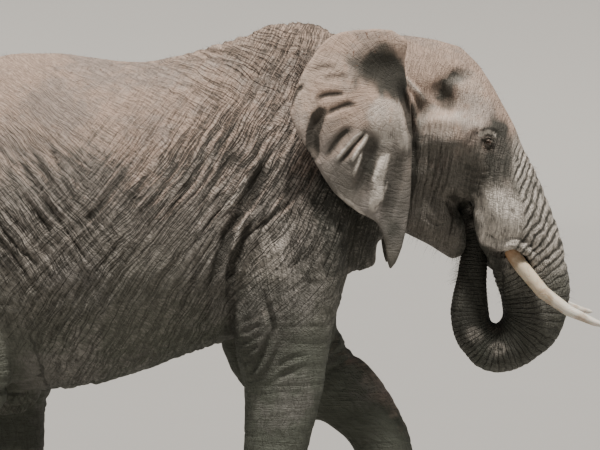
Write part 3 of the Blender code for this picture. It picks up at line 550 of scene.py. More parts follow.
class Hide:
    """Where each vertex of the skin lies on the body, and which way its folds run."""

    def __init__(self, mesh, softness):
        self.co = places(mesh)
        edges = np.empty(len(mesh.edges) * 2, np.int32)
        mesh.edges.foreach_get("vertices", edges)
        self.edges = edges.reshape(-1, 2)
        self.node = nearest_nodes(self.co)
        self.softness = softness
        self.side = np.sign(self.co[:, 1])

    def on(self, *names, soft=True):
        """1 on the named nodes and 0 off them, with a soft edge."""
        chosen = [FLESH.index(name) for name in names]
        mask = np.isin(self.node, chosen).astype(float)
        return self.spread(mask, self.softness) if soft else mask

    def spread(self, values, passes):
        """Numbers on the vertices, averaged with their neighbours several times."""
        first, second = self.edges.T
        count = np.maximum(np.bincount(self.edges.ravel(), minlength=len(values)), 1)
        for _ in range(passes):
            total = np.bincount(first, values[second], len(values))
            total += np.bincount(second, values[first], len(values))
            values = (values + total / count) / 2
        return values

    def rings(self):
        """Coordinates along and around each leg, the trunk, the tail and the ears."""
        out = self.co.copy()
        own = self.on(*REGIONS["trunk"], *REGIONS["head"], soft=False) > 0
        line = curve([(x, 0, z) for x, z in TRUNK_LINE], 8)
        run, offset, _ = follow(line, self.co[own])
        lean = 1 - smoothstep(0, TRUNK_LEAN_RUN, run)
        turns = np.interp(run + lean * offset[:, 0], *self.ring_turns())
        out[own] = np.column_stack([turns * RING_CELL, offset[:, 0] + offset[:, 2], offset[:, 1]])
        for number, nodes in enumerate(LIMBS):
            own = self.on(*nodes, soft=False) > 0
            _, offset, _ = follow(limb_line(nodes), self.co[own])
            along = self.co[own, 2] * LIMB_STRETCH
            out[own] = np.column_stack([along, offset[:, 0] + number, offset[:, 1]])
        own = self.on("tail", soft=False) > 0
        out[own] = self.co[own][:, [2, 0, 1]] * (TAIL_STRETCH, 1, 1)
        own = self.on(*REGIONS["ear"], soft=False) > 0
        ray = self.co[own] - EAR_ROOT
        turn = np.arctan2(ray[:, 2], -ray[:, 0])
        reach = np.hypot(ray[:, 0], ray[:, 2])
        out[own] = np.column_stack([turn, reach, ray[:, 1]]) * EAR_STRETCH
        return out

    def trunk_share(self):
        """1 on the trunk and its root's ridged front, and 0 elsewhere."""
        x, _, z = self.co.T
        front = smoothstep(*RIDGED_FRONT, x) * smoothstep(*RIDGED_TOP, z)
        mid_x, mid_z, wide, tall = TUSK_SOCKET
        socket = smoothstep(1.25, 0.75, ((x - mid_x) / wide) ** 2 + ((z - mid_z) / tall) ** 2)
        return np.maximum(self.spread(self.on(*REGIONS["trunk"]), 20), front) * (1 - socket)

    @staticmethod
    def ring_turns():
        """How many rings there are by each distance along the trunk."""
        run = np.linspace(*RING_RUN)
        spacing = np.interp(run, *RING_SPACING)
        return run, np.cumsum((run[1] - run[0]) / spacing)


# ------------------------------------------------------------------ the skin
def flesh_mesh(grain):
    """All the nodes of flesh, blended into one skin of even grain."""
    bm = bmesh.new()
    for name in FLESH:
        bm.from_mesh(NODES[name].data)
    bmesh.ops.remove_doubles(bm, verts=bm.verts, dist=1e-5)
    bm.normal_update()
    for vertex in bm.verts:
        vertex.co += vertex.normal * NODE_OVERLAP
    mesh = bpy.data.meshes.new("skin")
    bm.to_mesh(mesh)
    bm.free()
    skin = new_object("skin", mesh)
    modified(skin, "REMESH", mode="VOXEL", voxel_size=grain)
    return skin


def smoothed(skin, co, weight, passes):
    """Places, or any vectors on the skin, spread out over its surface."""
    put_places(skin.data, co)
    group = skin.vertex_groups.new(name="weight")
    for level in np.unique(np.round(weight, 1)):
        chosen = np.nonzero(np.round(weight, 1) == level)[0].tolist()
        group.add(chosen, float(level), "REPLACE")
    modifier = skin.modifiers.new("Smooth", "SMOOTH")
    modifier.factor = 0.5
    modifier.iterations = passes
    modifier.vertex_group = group.name
    graph = bpy.context.evaluated_depsgraph_get()
    out = places(skin.evaluated_get(graph).data)
    skin.modifiers.clear()
    skin.vertex_groups.clear()
    return out


def rounded_off(skin, co, weight, passes):
    """Places without their facets, which keep their size because what was lost is given back."""
    soft = smoothed(skin, co, weight, passes)
    return soft + smoothed(skin, co - soft, weight, passes)


def sculpt(skin, hide, grains, settings):
    """Press the folds, rings and hollows into the smooth skin."""
    co = hide.co
    ear = hide.on(*REGIONS["ear"])
    head = hide.on(*REGIONS["head"], "trunk_upper")
    trunk = hide.trunk_share()
    limb = hide.on(*REGIONS["limb"])
    body = np.clip(1 - ear - trunk - limb, 0, 1)
    rings = hide.rings()
    height = np.zeros(len(co))
    for grain, depth, seed in zip(grains, fold_depths(co), (1, 3)):
        lie = grain.at(co)
        lie[:, 0] += value_noise(co * 5, seed) * 0.02
        strength = settings.fold_depth * depth * body * (1 - head)
        height += strength * creased(lie, BODY_FOLD_SIZE, FOLD_EDGE, seed)
        height += 0.5 * strength * creased(lie, SMALL_FOLD_SIZE, FOLD_EDGE, seed + 1)
    turns = rings[:, 0] / RING_CELL + 0.35 * value_noise(co * 9, 7)
    upper = smoothstep(*UPPER_TRUNK_UP, co[:, 2]) * smoothstep(*UPPER_TRUNK_AHEAD, co[:, 0])
    swell = 0.7 + 0.5 * value_noise(co * 14, 8)
    ridges = TRUNK_RIDGE_HEIGHT * upper * ridged(turns / 2, 0.32)
    height += trunk * swell * (ridges + TRUNK_RING_HEIGHT * ridged(turns, 0.30))
    height += LIMB_FOLD_HEIGHT * limb * creased(rings, LIMB_FOLD_SIZE, 0.5, 4)
    height += body * (1 - head) * fold_heights(co, BODY_FOLDS)
    height += SKIN_UNEVENNESS * (1 - ear) * value_noise(co * 6.5, 5)
    shifted = co - (LEFT_ELBOW_SHIFT, 0, 0)
    near = co[:, 1] < 0
    elbow = np.where(near[:, None], co, shifted)
    height += (1 - ear) * (1 - head) * fold_heights(elbow, ELBOW_FOLDS)
    height += head * (1 - ear) * (fold_heights(co, HEAD_FOLDS) + form_heights(co, HEAD_FORMS))
    sag = fold_heights(co, EAR_FOLDS, 0.1) + form_heights(co, EAR_FORMS)
    sag = ear * (sag + EAR_UNEVENNESS * value_noise(co * 11, 6))
    sag += np.clip(ear + head, 0, 1) * fold_heights(co, (SLIT,))
    out = co + normals(skin.data) * (height * (1 - smoothstep(SOLE_BAND, 0, co[:, 2])))[:, None]
    out[:, 1] += hide.side * sag
    for nodes, place, move in DRAWN:
        out += (hide.on(*nodes) * mound(co, *place))[:, None] * move
    out[:, 2] = np.maximum(out[:, 2], 0)
    return out


def cut_edges(bm, edges, cuts):
    """Cut edges into even parts, and keep every face a triangle."""
    bmesh.ops.subdivide_edges(bm, edges=edges, cuts=cuts, use_grid_fill=True)
    bmesh.ops.triangulate(bm, faces=[face for face in bm.faces if len(face.verts) > 3])


def refine(skin):
    """Make the faces finer on the outer side of the ears and face, so that their marks are crisp."""
    hide = Hide(skin.data, 0)
    x, _, z = hide.co.T
    rear, low, high = FINE_FACE
    face = hide.on("head", soft=False) * (x > rear) * (z > low) * (z < high)
    face *= np.hypot(x - EYE_LOW.x, z - EYE_LOW.z) > EYE_CLEARANCE
    outward = normals(skin.data)[:, 1] * hide.side > 0.3
    keep_value(skin.data, "fine", np.maximum(hide.on(*REGIONS["ear"], soft=False), face) * outward)
    bm = bmesh.new()
    bm.from_mesh(skin.data)
    bmesh.ops.triangulate(bm, faces=bm.faces)
    fine = bm.verts.layers.float["fine"]
    edges = [edge for edge in bm.edges
             if edge.calc_length() > FINE_EDGE and all(vertex[fine] > 0.5 for vertex in edge.verts)]
    cut_edges(bm, edges, 1)
    bm.verts.layers.float.remove(fine)
    return bm


LID_CUTS = ((0.085, 1), (0.060, 1), (0.040, 2))     # the reaches in which edges are cut, and the cuts
LID_REAR = -0.01            # how far behind the eye's middle the lids are shaped
LID_RIM = 0.046             # where the lids end
LID_FADE = 0.055            # where the folds round them end
LID_EDGE = 0.16             # how soft the opening's edge is
LID_DEPTH = 0.006           # how far inside the ball the skin goes behind the opening
LID_SMOOTHING = 0.25
LOWER_LID_DROP = 0.8
UPPER_LID_BULGE = 1.5
BROW_PLACE, BROW_WIDTH, BROW_HEIGHT = 0.030, 0.007, 0.006
POUCH_PLACE, POUCH_SPACING, POUCH_HEIGHT = 0.026, 0.0105, 0.0035
POUCH_RING = (0.038, 0.016)     # how far from the middle the pouch lies, and its half width


def open_lids(bm, side, settings):
    """Make the skin fine round one eye and shape the lids over the ball."""
    out, ahead, upward, centre = eye_axes(side)
    for reach, cuts in LID_CUTS:
        near = [edge for edge in bm.edges
                if all((vertex.co - centre).length < reach and (vertex.co - centre).dot(out) > LID_REAR
                       for vertex in edge.verts)]
        cut_edges(bm, near, cuts)
    moved = []
    for vertex in bm.verts:
        place = vertex.co - centre
        if place.length > LID_CUTS[0][0] or place.dot(out) < LID_REAR:
            continue
        moved.append(vertex)
        across, up, level = place.dot(ahead), place.dot(upward), place.dot(out)
        slant_across = across * math.cos(EYE_SLANT) - up * math.sin(EYE_SLANT)
        slant_up = across * math.sin(EYE_SLANT) + up * math.cos(EYE_SLANT)
        tall = settings.eye_height * (1.0 if slant_up > 0 else LOWER_LID_DROP)
        lens = math.hypot(slant_across / settings.eye_width, slant_up / tall * (1 + 6 * abs(across)))
        away = math.hypot(across, up)
        cap = math.sqrt(max(EYE_RADIUS * EYE_RADIUS - away * away, 0))
        lid = cap + settings.lid_thickness * (UPPER_LID_BULGE if up > 0 else 1.0)
        rise = max(0, 1 - (away / LID_RIM) ** 2) ** 1.5
        brow = BROW_HEIGHT * math.exp(-((up - BROW_PLACE + 4 * across * across) / BROW_WIDTH) ** 2)
        waves = (math.hypot(across, up * 1.25) - POUCH_PLACE) / POUCH_SPACING
        pouch = POUCH_HEIGHT * math.cos(waves * math.tau)
        pouch *= math.exp(-((away - POUCH_RING[0]) / POUCH_RING[1]) ** 2)
        target = level + (brow + pouch) * math.exp(-(away / LID_FADE) ** 4)
        target += (max(lid, target) - target) * min(1, rise * 1.6)
        inside = max(0, min(1, (1.0 - lens) / LID_EDGE))
        inside = inside * inside * (3 - 2 * inside)
        target += (cap - LID_DEPTH - target) * inside
        vertex.co += out * (target - level)
    bmesh.ops.smooth_vert(bm, verts=moved, factor=LID_SMOOTHING, use_axis_x=True, use_axis_y=True,
                          use_axis_z=True)


# Between which heights or lengths a region of the marks comes or goes, in metres.
LIMB_TOP = (1.10, 1.55)
HEAD_TOP = (2.38, 2.50)     # above it the head and the ears get more dust and painted top light
FACE_TOP = (2.32, 2.44)     # above it the face's folds are faint
SHADED_FACE = (2.44, 2.32)
CROWN = (2.40, 2.75)
RIDGED_TRUNK_UP = (1.62, 1.78)
RIDGED_TRUNK_AHEAD = (1.46, 1.54)
# How far a face looks up, and how high it lies for the elephant's height, to get dust and painted top
# light, or the darker lower skin with painted shade.
DUSTY_FACING = (-0.25, 0.9)
DUSTY_HEIGHT = (0.55, 0.95)
LOWER_SKIN = (0.35, 0.72)
HEAD_FOLD_DEPTHS = (0.27, 0.17)     # below the face's top, and how much less above it
EAR_FOLD_DEPTH, TRUNK_FOLD_DEPTH, LIMB_FOLD_DEPTH = 0.08, 0.8, 0.14
FULL_CREASE = 0.012         # the depth of a crease that is darkened fully, with dirt and painted shade
SMOOTH_BROW = (1.20, 2.49, 0.14, 0.06)      # x, z, half width and half height
MARKED_FROM = 0.12          # how far from the middle the narrow marks begin


def mark_skin(skin, grains):
    """Store where the folds, dust with painted top light, painted shade with stains, and painted
    highlights with rubbed patches lie.
    """
    mesh = skin.data
    hide = Hide(mesh, 10)
    co, facing = hide.co, normals(mesh)
    ear = hide.on(*REGIONS["ear"])
    trunk = hide.trunk_share()
    head = hide.on(*REGIONS["head"])
    limb = hide.spread(hide.on(*REGIONS["limb"]), SPREAD_OF_LIMBS)
    limb *= 1 - smoothstep(*LIMB_TOP, co[:, 2])
    tail = hide.on("tail")
    folds = fold_heights(co, BODY_FOLDS) * (1 - head) + 0.6 * fold_heights(co, HEAD_FOLDS) * head
    slit = 1.5 * fold_heights(co, (SLIT,)) * np.clip(ear + head, 0, 1)
    folds += fold_heights(co, EAR_FOLDS) * ear + slit
    height = (co[:, 2] - LOW.z) / TALL
    # Dust and painted top light: more on faces that look up and on high places.
    lit = smoothstep(*DUSTY_FACING, facing[:, 2]) * 0.6 + smoothstep(*DUSTY_HEIGHT, height) * 0.55
    lit += 0.12 * value_noise(co * 3.1, 11) + 0.08 * value_noise(co * 8.3, 12)
    lit += (0.45 * head + 0.25 * ear) * smoothstep(*HEAD_TOP, co[:, 2])
    front, rear = fold_depths(co)
    head_depth = HEAD_FOLD_DEPTHS[0] - HEAD_FOLD_DEPTHS[1] * smoothstep(*FACE_TOP, co[:, 2])
    for region, depth in ((head, head_depth), (ear, EAR_FOLD_DEPTH), (trunk, TRUNK_FOLD_DEPTH),
                          (limb, LIMB_FOLD_DEPTH)):
        front = front * (1 - region) + depth * region
    rings = hide.rings()
    # Darker towards the bottom: painted shade, with the darker skin of the legs and belly.
    low = 1 - smoothstep(*LOWER_SKIN, height + 0.05 * value_noise(co * 2.3, 13))
    ridged_trunk = trunk * smoothstep(*RIDGED_TRUNK_UP, co[:, 2])
    kept = {
        "front_lie": grains[0].at(co),
        "rear_lie": grains[1].at(co),
        "ring": rings,
        "ring_share": np.clip(ear + trunk + limb + tail, 0, 1),
        "front_depth": front,
        "rear_depth": rear * (1 - limb) * (1 - tail),
        "dust_and_top_light": np.clip(lit, 0, 1),
        "crown": smoothstep(*CROWN, co[:, 2]),
        # How deep the creases are, to be darkened with painted shade and dirt.
        "folded": np.clip(-folds / FULL_CREASE, 0, 1),
        "smooth": np.clip(0.45 * ear + 0.6 * (head * mound(co, *SMOOTH_BROW)), 0, 1),
        "turns": rings[:, 0] / RING_CELL,
        "ridged": ridged_trunk * smoothstep(*RIDGED_TRUNK_AHEAD, co[:, 0]),
        "trunk": trunk,
        # The face under the brow is darkened with painted shade.
        "lower": np.maximum(low, 0.30 * head * smoothstep(*SHADED_FACE, co[:, 2])),
    }
    for name, values in kept.items():
        keep_value(mesh, name, values)
    outer = np.abs(co[:, 1]) > MARKED_FROM
    for name, tool in (("highlight_and_rubbed", form_marks), ("shade_and_stain", form_marks),
                       ("highlight_line", stroke_marks), ("shade_line", stroke_marks)):
        marks = tool(co, EAR_MARKS[name]) * ear + tool(co, SKIN_MARKS[name]) * (1 - ear)
        keep_value(mesh, name, marks if tool is form_marks else marks * outer)


# Marks on the ears and on the rest of the skin. Pale patches (painted highlights, with some rubbed
# skin) and dark patches (painted shade, with some damp stains) have rows of x, z, half width, half
# height and strength. Narrow marks (painted highlights and painted shade) have rows of half width,
# strength, and the line that each follows in x and z.
EAR_MARKS = {
    # Painted highlights on the ear's bulge and top, with some rubbed skin.
    "highlight_and_rubbed": (
        (0.92, 2.48, 0.10, 0.09, 0.55), (0.58, 2.74, 0.15, 0.08, 0.12), (0.47, 2.56, 0.06, 0.12, 0.15),
    ),
    # Painted shade in the ear's hollows and under its folds, with some damp stains.
    "shade_and_stain": (
        (0.869, 2.745, 0.130, 0.100, 1.0), (0.945, 2.660, 0.060, 0.090, 1.0),
        (0.72, 2.18, 0.12, 0.11, 0.40), (0.805, 2.33, 0.05, 0.13, 0.5), (0.95, 2.10, 0.075, 0.24, 0.5),
        (0.62, 2.42, 0.10, 0.08, 0.30), (0.90, 1.81, 0.09, 0.16, 0.45), (0.66, 2.08, 0.10, 0.07, 0.15),
    ),
    # Painted highlights on the ear's ridges and along its lower edge.
    "highlight_line": (
        (0.012, 0.75, ((0.605, 2.245), (0.684, 2.329), (0.743, 2.392), (0.800, 2.44))),
        (0.011, 0.85, ((0.695, 2.235), (0.734, 2.304), (0.768, 2.354), (0.805, 2.43))),
        (0.008, 0.75, ((0.708, 2.165), (0.743, 2.245), (0.768, 2.330))),
        (0.036, 0.85, ((0.915, 2.355), (0.880, 2.262), (0.848, 2.165), (0.840, 2.080), (0.792, 1.95))),
        (0.045, 0.50, ((0.76, 2.56), (0.88, 2.56), (0.95, 2.48), (0.985, 2.40), (0.995, 2.26))),
        (0.006, 0.7, ((0.938, 2.190), (0.895, 2.130), (0.855, 2.115))),
        (0.010, 0.5, ((0.610, 2.115), (0.70, 2.045), (0.80, 1.96))),
    ),
    # Painted shade in the ear's creases, in the slit at its root and in its top hollow.
    "shade_line": (
        (0.038, 0.95, ((0.580, 2.60), (0.527, 2.47), (0.503, 2.371), (0.528, 2.215))),
        (0.012, 0.55, ((0.490, 2.560), (0.574, 2.607), (0.700, 2.612))),
        (0.013, 0.55, ((0.540, 2.490), (0.635, 2.540), (0.675, 2.555), (0.765, 2.565))),
        (0.016, 0.35, ((0.540, 2.235), (0.641, 2.375), (0.730, 2.465))),
        (0.013, 0.45, ((0.620, 2.225), (0.717, 2.350), (0.810, 2.445))),
        (0.010, 0.60, ((0.375, 2.500), (0.410, 2.600), (0.480, 2.685))),
        (0.009, 0.30, ((0.490, 2.740), (0.560, 2.757), (0.640, 2.752))),
        (0.009, 0.30, ((0.550, 2.695), (0.640, 2.712), (0.720, 2.700))),
        (0.010, 0.35, ((0.935, 2.330), (0.892, 2.200), (0.865, 2.080))),
        (0.020, 1.0, ((0.93, 2.70), (0.975, 2.60), (1.02, 2.46), (1.035, 2.34))),
        (0.075, 0.75, ((0.73, 2.72), (0.82, 2.76), (0.92, 2.73), (0.985, 2.58))),
    ),
}
SKIN_MARKS = {
    # Painted highlights on the tusk's socket, the brow, the forehead and the shoulder, with some
    # rubbed, scuffed skin on the trunk's bend.
    "highlight_and_rubbed": (
        (1.505, 1.965, 0.115, 0.165, 1.0), (1.50, 1.86, 0.10, 0.05, 0.8),
        (1.49, 1.255, 0.04, 0.035, 0.5), (1.38, 1.33, 0.04, 0.035, 0.35),
        (1.19, 2.455, 0.13, 0.065, 0.35), (1.34, 2.58, 0.08, 0.14, 0.25),
        (0.31, 1.90, 0.12, 0.09, 0.25), (0.31, 1.75, 0.08, 0.12, 0.30),
    ),
    # Painted shade on the neck under the ear, in the temple's hollows, on the trunk's rise and round
    # the eye, with some damp stains.
    "shade_and_stain": (
        (1.485, 2.30, 0.075, 0.165, 0.80), (1.500, 2.43, 0.050, 0.045, 0.85),
        (1.222, 2.578, 0.042, 0.052, 0.80), (1.185, 2.640, 0.055, 0.040, 0.65),
        (1.235, 2.690, 0.045, 0.035, 0.55), (1.290, 2.722, 0.055, 0.030, 0.65),
        (1.075, 2.53, 0.040, 0.10, 0.65), (1.06, 2.40, 0.025, 0.08, 0.5),
        (0.95, 2.12, 0.06, 0.20, 0.6), (1.60, 1.35, 0.22, 0.20, 0.65), (1.37, 1.70, 0.08, 0.34, 0.95),
        (0.72, 1.90, 0.15, 0.24, 1.0), (0.62, 2.10, 0.10, 0.13, 1.0), (0.77, 2.00, 0.08, 0.08, 1.0),
        (0.30, 2.78, 0.25, 0.14, 0.25), (1.46, 1.71, 0.07, 0.055, 1.0), (1.30, 1.98, 0.04, 0.07, 1.0),
        (0.25, 1.40, 0.16, 0.22, 0.6), (-1.00, 0.80, 0.26, 0.11, 0.4), (0.56, 1.72, 0.13, 0.22, 0.55),
        (1.32, 2.18, 0.08, 0.09, 0.3),
    ),
    # Painted highlights on the ridge at the ear's root, on the upper lid and on the body's raised
    # folds.
    "highlight_line": (
        (0.012, 0.60, ((0.945, 2.745), (1.00, 2.69), (1.05, 2.635), (1.120, 2.555))),
        (0.007, 0.9, ((1.370, 2.366), (1.395, 2.400), (1.431, 2.420), (1.462, 2.406), (1.478, 2.365))),
        (0.009, 1.0, ((1.400, 2.396), (1.431, 2.414), (1.462, 2.398))),
        (0.014, 0.75, ((0.185, 2.215), (0.130, 2.120), (0.070, 2.040), (0.005, 1.960))),
        (0.012, 0.85, ((0.165, 1.990), (0.130, 1.910), (0.100, 1.830), (0.080, 1.770))),
    ),
    # Painted shade in the face's creases, below the eye, under the lip over the tusk and in the crease
    # behind the elbow.
    "shade_line": (
        (0.020, 1.0, ((0.92, 2.72), (0.975, 2.60), (1.02, 2.46), (1.035, 2.34))),
        (0.010, 0.9, ((0.985, 2.66), (1.030, 2.560), (1.055, 2.45))),
        (0.012, 1.0, ((1.035, 2.42), (1.040, 2.20), (1.01, 1.98))),
        (0.007, 0.35, ((1.126, 2.42), (1.113, 2.198), (1.070, 2.00))),
        (0.007, 0.35, ((1.186, 2.42), (1.180, 2.198), (1.125, 1.98))),
        (0.007, 0.35, ((1.080, 2.40), (1.065, 2.20), (1.045, 2.04))),
        (0.009, 1.0, ((1.380, 2.384), (1.425, 2.358), (1.480, 2.318))),
        (0.005, 0.9, ((1.345, 2.376), (1.390, 2.420), (1.431, 2.436), (1.475, 2.422), (1.495, 2.385))),
        (0.020, 1.0, ((1.20, 2.10), (1.26, 2.06), (1.29, 1.98), (1.29, 1.88))),
        (0.010, 0.9, ((1.42, 1.775), (1.50, 1.755), (1.57, 1.768), (1.64, 1.725), (1.69, 1.66))),
        (0.028, 0.55, ((0.262, 2.27), (0.215, 2.15), (0.178, 2.06), (0.145, 1.97))),
    ),
}


def form_marks(co, rows):
    """How strongly broad patches mark each place, with ragged edges."""
    ragged = 1 + 0.5 * value_noise(co * 22, 21) + 0.3 * value_noise(co * 9, 22)
    out = np.zeros(len(co))
    for x, z, wide, tall, strength in rows:
        away = ((co[:, 0] - x) / wide) ** 2 + ((co[:, 2] - z) / tall) ** 2
        out += strength * smoothstep(1.9, 0.5, away * ragged)
    return np.clip(out, 0, 1)


def stroke_marks(co, rows):
    """How strongly narrow lines mark each place, with edges that are a little ragged."""
    ragged = 1 + 0.35 * value_noise(co * 30, 23)
    out = np.zeros(len(co))
    for half, strength, points in rows:
        share = fold_line(co, points, half, 0) * ragged
        out = np.maximum(out, strength * smoothstep(0.30, 0.58, share))
    return out


# ------------------------------------------------------------------ materials
class Field:
    """A socket of a material that can be used in sums as if it were a number."""

    def __init__(self, paint, socket):
        self.paint = paint
        self.socket = socket

    def math(self, operation, first, second):
        return self.paint.node("ShaderNodeMath", {"operation": operation}, {0: first, 1: second})

    def __add__(self, other):
        return self.math("ADD", self, other)

    def __sub__(self, other):
        return self.math("SUBTRACT", self, other)

    def __mul__(self, other):
        return self.math("MULTIPLY", self, other)

    def __rsub__(self, other):
        return self.math("SUBTRACT", other, self)

    def most(self, other):
        return self.math("MAXIMUM", self, other)

    def least(self, other):
        return self.math("MINIMUM", self, other)

    def there_and_back(self, half_turn):
        """Rises from 0 to half a turn and falls back, over and over."""
        return self.math("PINGPONG", self, half_turn)

    __radd__ = __add__
    __rmul__ = __mul__


class Paint:
    """A material and the nodes that colour it."""

    def __init__(self, name, **constants):
        self.material = bpy.data.materials.new(name)
        self.material.use_nodes = True
        self.tree = self.material.node_tree
        self.shader = self.tree.nodes["Principled BSDF"]
        for socket, value in constants.items():
            self.shader.inputs[socket.replace("_", " ")].default_value = value

    def node(self, kind, settings=None, sockets=None, output=0):
        """A node of a kind, with its settings and then its sockets filled in."""
        node = self.tree.nodes.new(kind)
        for name, value in (settings or {}).items():
            setattr(node, name, value)
        for key, value in (sockets or {}).items():
            self.feed(node.inputs[key], value)
        return Field(self, node.outputs[output])

    def feed(self, socket, value):
        """Link a field to a socket, or set the socket's own value."""
        if isinstance(value, Field):
            self.tree.links.new(value.socket, socket)
            return
        is_colour = socket.type == "RGBA" and len(value) == 3
        socket.default_value = (*value, 1) if is_colour else value

    def value(self, name, output="Fac"):
        """A number that the mesh keeps for each vertex."""
        return self.node("ShaderNodeAttribute", {"attribute_name": name}, output=output)

    def vector(self, name):
        """A vector that the mesh keeps for each vertex."""
        return self.value(name, "Vector")

    def place(self):
        """The place on the object."""
        return self.node("ShaderNodeTexCoord", output="Object")

    def sized(self, vector, size):
        """A vector in units of a size."""
        return self.node("ShaderNodeVectorMath", {"operation": "DIVIDE"}, {0: vector, 1: size})

    def moved(self, vector, other):
        """The sum of two vectors."""
        return self.node("ShaderNodeVectorMath", {"operation": "ADD"}, {0: vector, 1: other})

    def noise(self, vector, size, detail=3.0, output="Fac"):
        """Soft noise with lumps of a size."""
        sockets = {"Vector": vector, "Scale": 1 / size, "Detail": detail}
        return self.node("ShaderNodeTexNoise", {}, sockets, output)

    def tiles(self, vector, size, edge):
        """Tiles of a size between cracks: 0 in a crack and 1 on a tile."""
        away = self.node("ShaderNodeTexVoronoi", {"feature": "DISTANCE_TO_EDGE"},
                         {"Vector": self.sized(vector, size), "Scale": 1.0}, "Distance")
        return self.step(away, 0, edge)

    def creases(self, vector, size, width):
        """Long, soft creases of a size: 0 in a crease and 1 on a fold."""
        level = self.noise(self.sized(vector, size), 1.0, 1.0) - 0.5
        away = self.node("ShaderNodeMath", {"operation": "ABSOLUTE"}, {0: level})
        return self.step(away, 0, width)

    def step(self, value, low, high):
        """0 below low and 1 above high, smoothly."""
        return self.node("ShaderNodeMapRange", {"interpolation_type": "SMOOTHSTEP"},
                         {"Value": value, "From Min": low, "From Max": high})

    def blend(self, share, first, second):
        """The first colour where the share is 0 and the second where it is 1."""
        return self.node("ShaderNodeMix", {"data_type": "RGBA"}, {0: share, 6: first, 7: second}, 2)

    def between(self, share, first, second):
        """The first number where the share is 0 and the second where it is 1."""
        return self.node("ShaderNodeMix", {"data_type": "FLOAT"}, {0: share, 2: first, 3: second}, 0)

    def finish(self, obj, colour, roughness=None, height=None, depth=0.002):
        """Link the shader, and put the material on a piece."""
        self.feed(self.shader.inputs["Base Color"], colour)
        if roughness is not None:
            self.feed(self.shader.inputs["Roughness"], roughness)
        if height is not None:
            bump = self.node("ShaderNodeBump", {}, {"Height": height, "Distance": depth}, "Normal")
            self.feed(self.shader.inputs["Normal"], bump)
        obj.data.materials.clear()
        obj.data.materials.append(self.material)


# Sizes of the hide's cracks across, along and sideways, in metres, and how soft their edges are.
LONG_CRACKS = {"front_lie": ((0.020, 0.34, 0.20), 0.10), "rear_lie": ((0.018, 0.30, 0.20), 0.10),
               "ring": ((RING_CELL, 0.30, 0.30), 0.14)}
FINE_CRACKS = {"front_lie": ((0.010, 0.07, 0.05), 0.11), "rear_lie": ((0.010, 0.08, 0.05), 0.11),
               "ring": ((0.010, 0.08, 0.08), 0.11)}
CROSS_CRACKS = {"front_lie": ((0.045, 0.016, 0.04), 0.13), "ring": ((0.05, 0.016, 0.016), 0.14)}
RING_CROSS_CRACKS = ((0.10, 0.030, 0.030), 0.10)
TILE = (0.011, 0.011, 0.011)
STRIPE = (0.012, 0.06, 0.10)


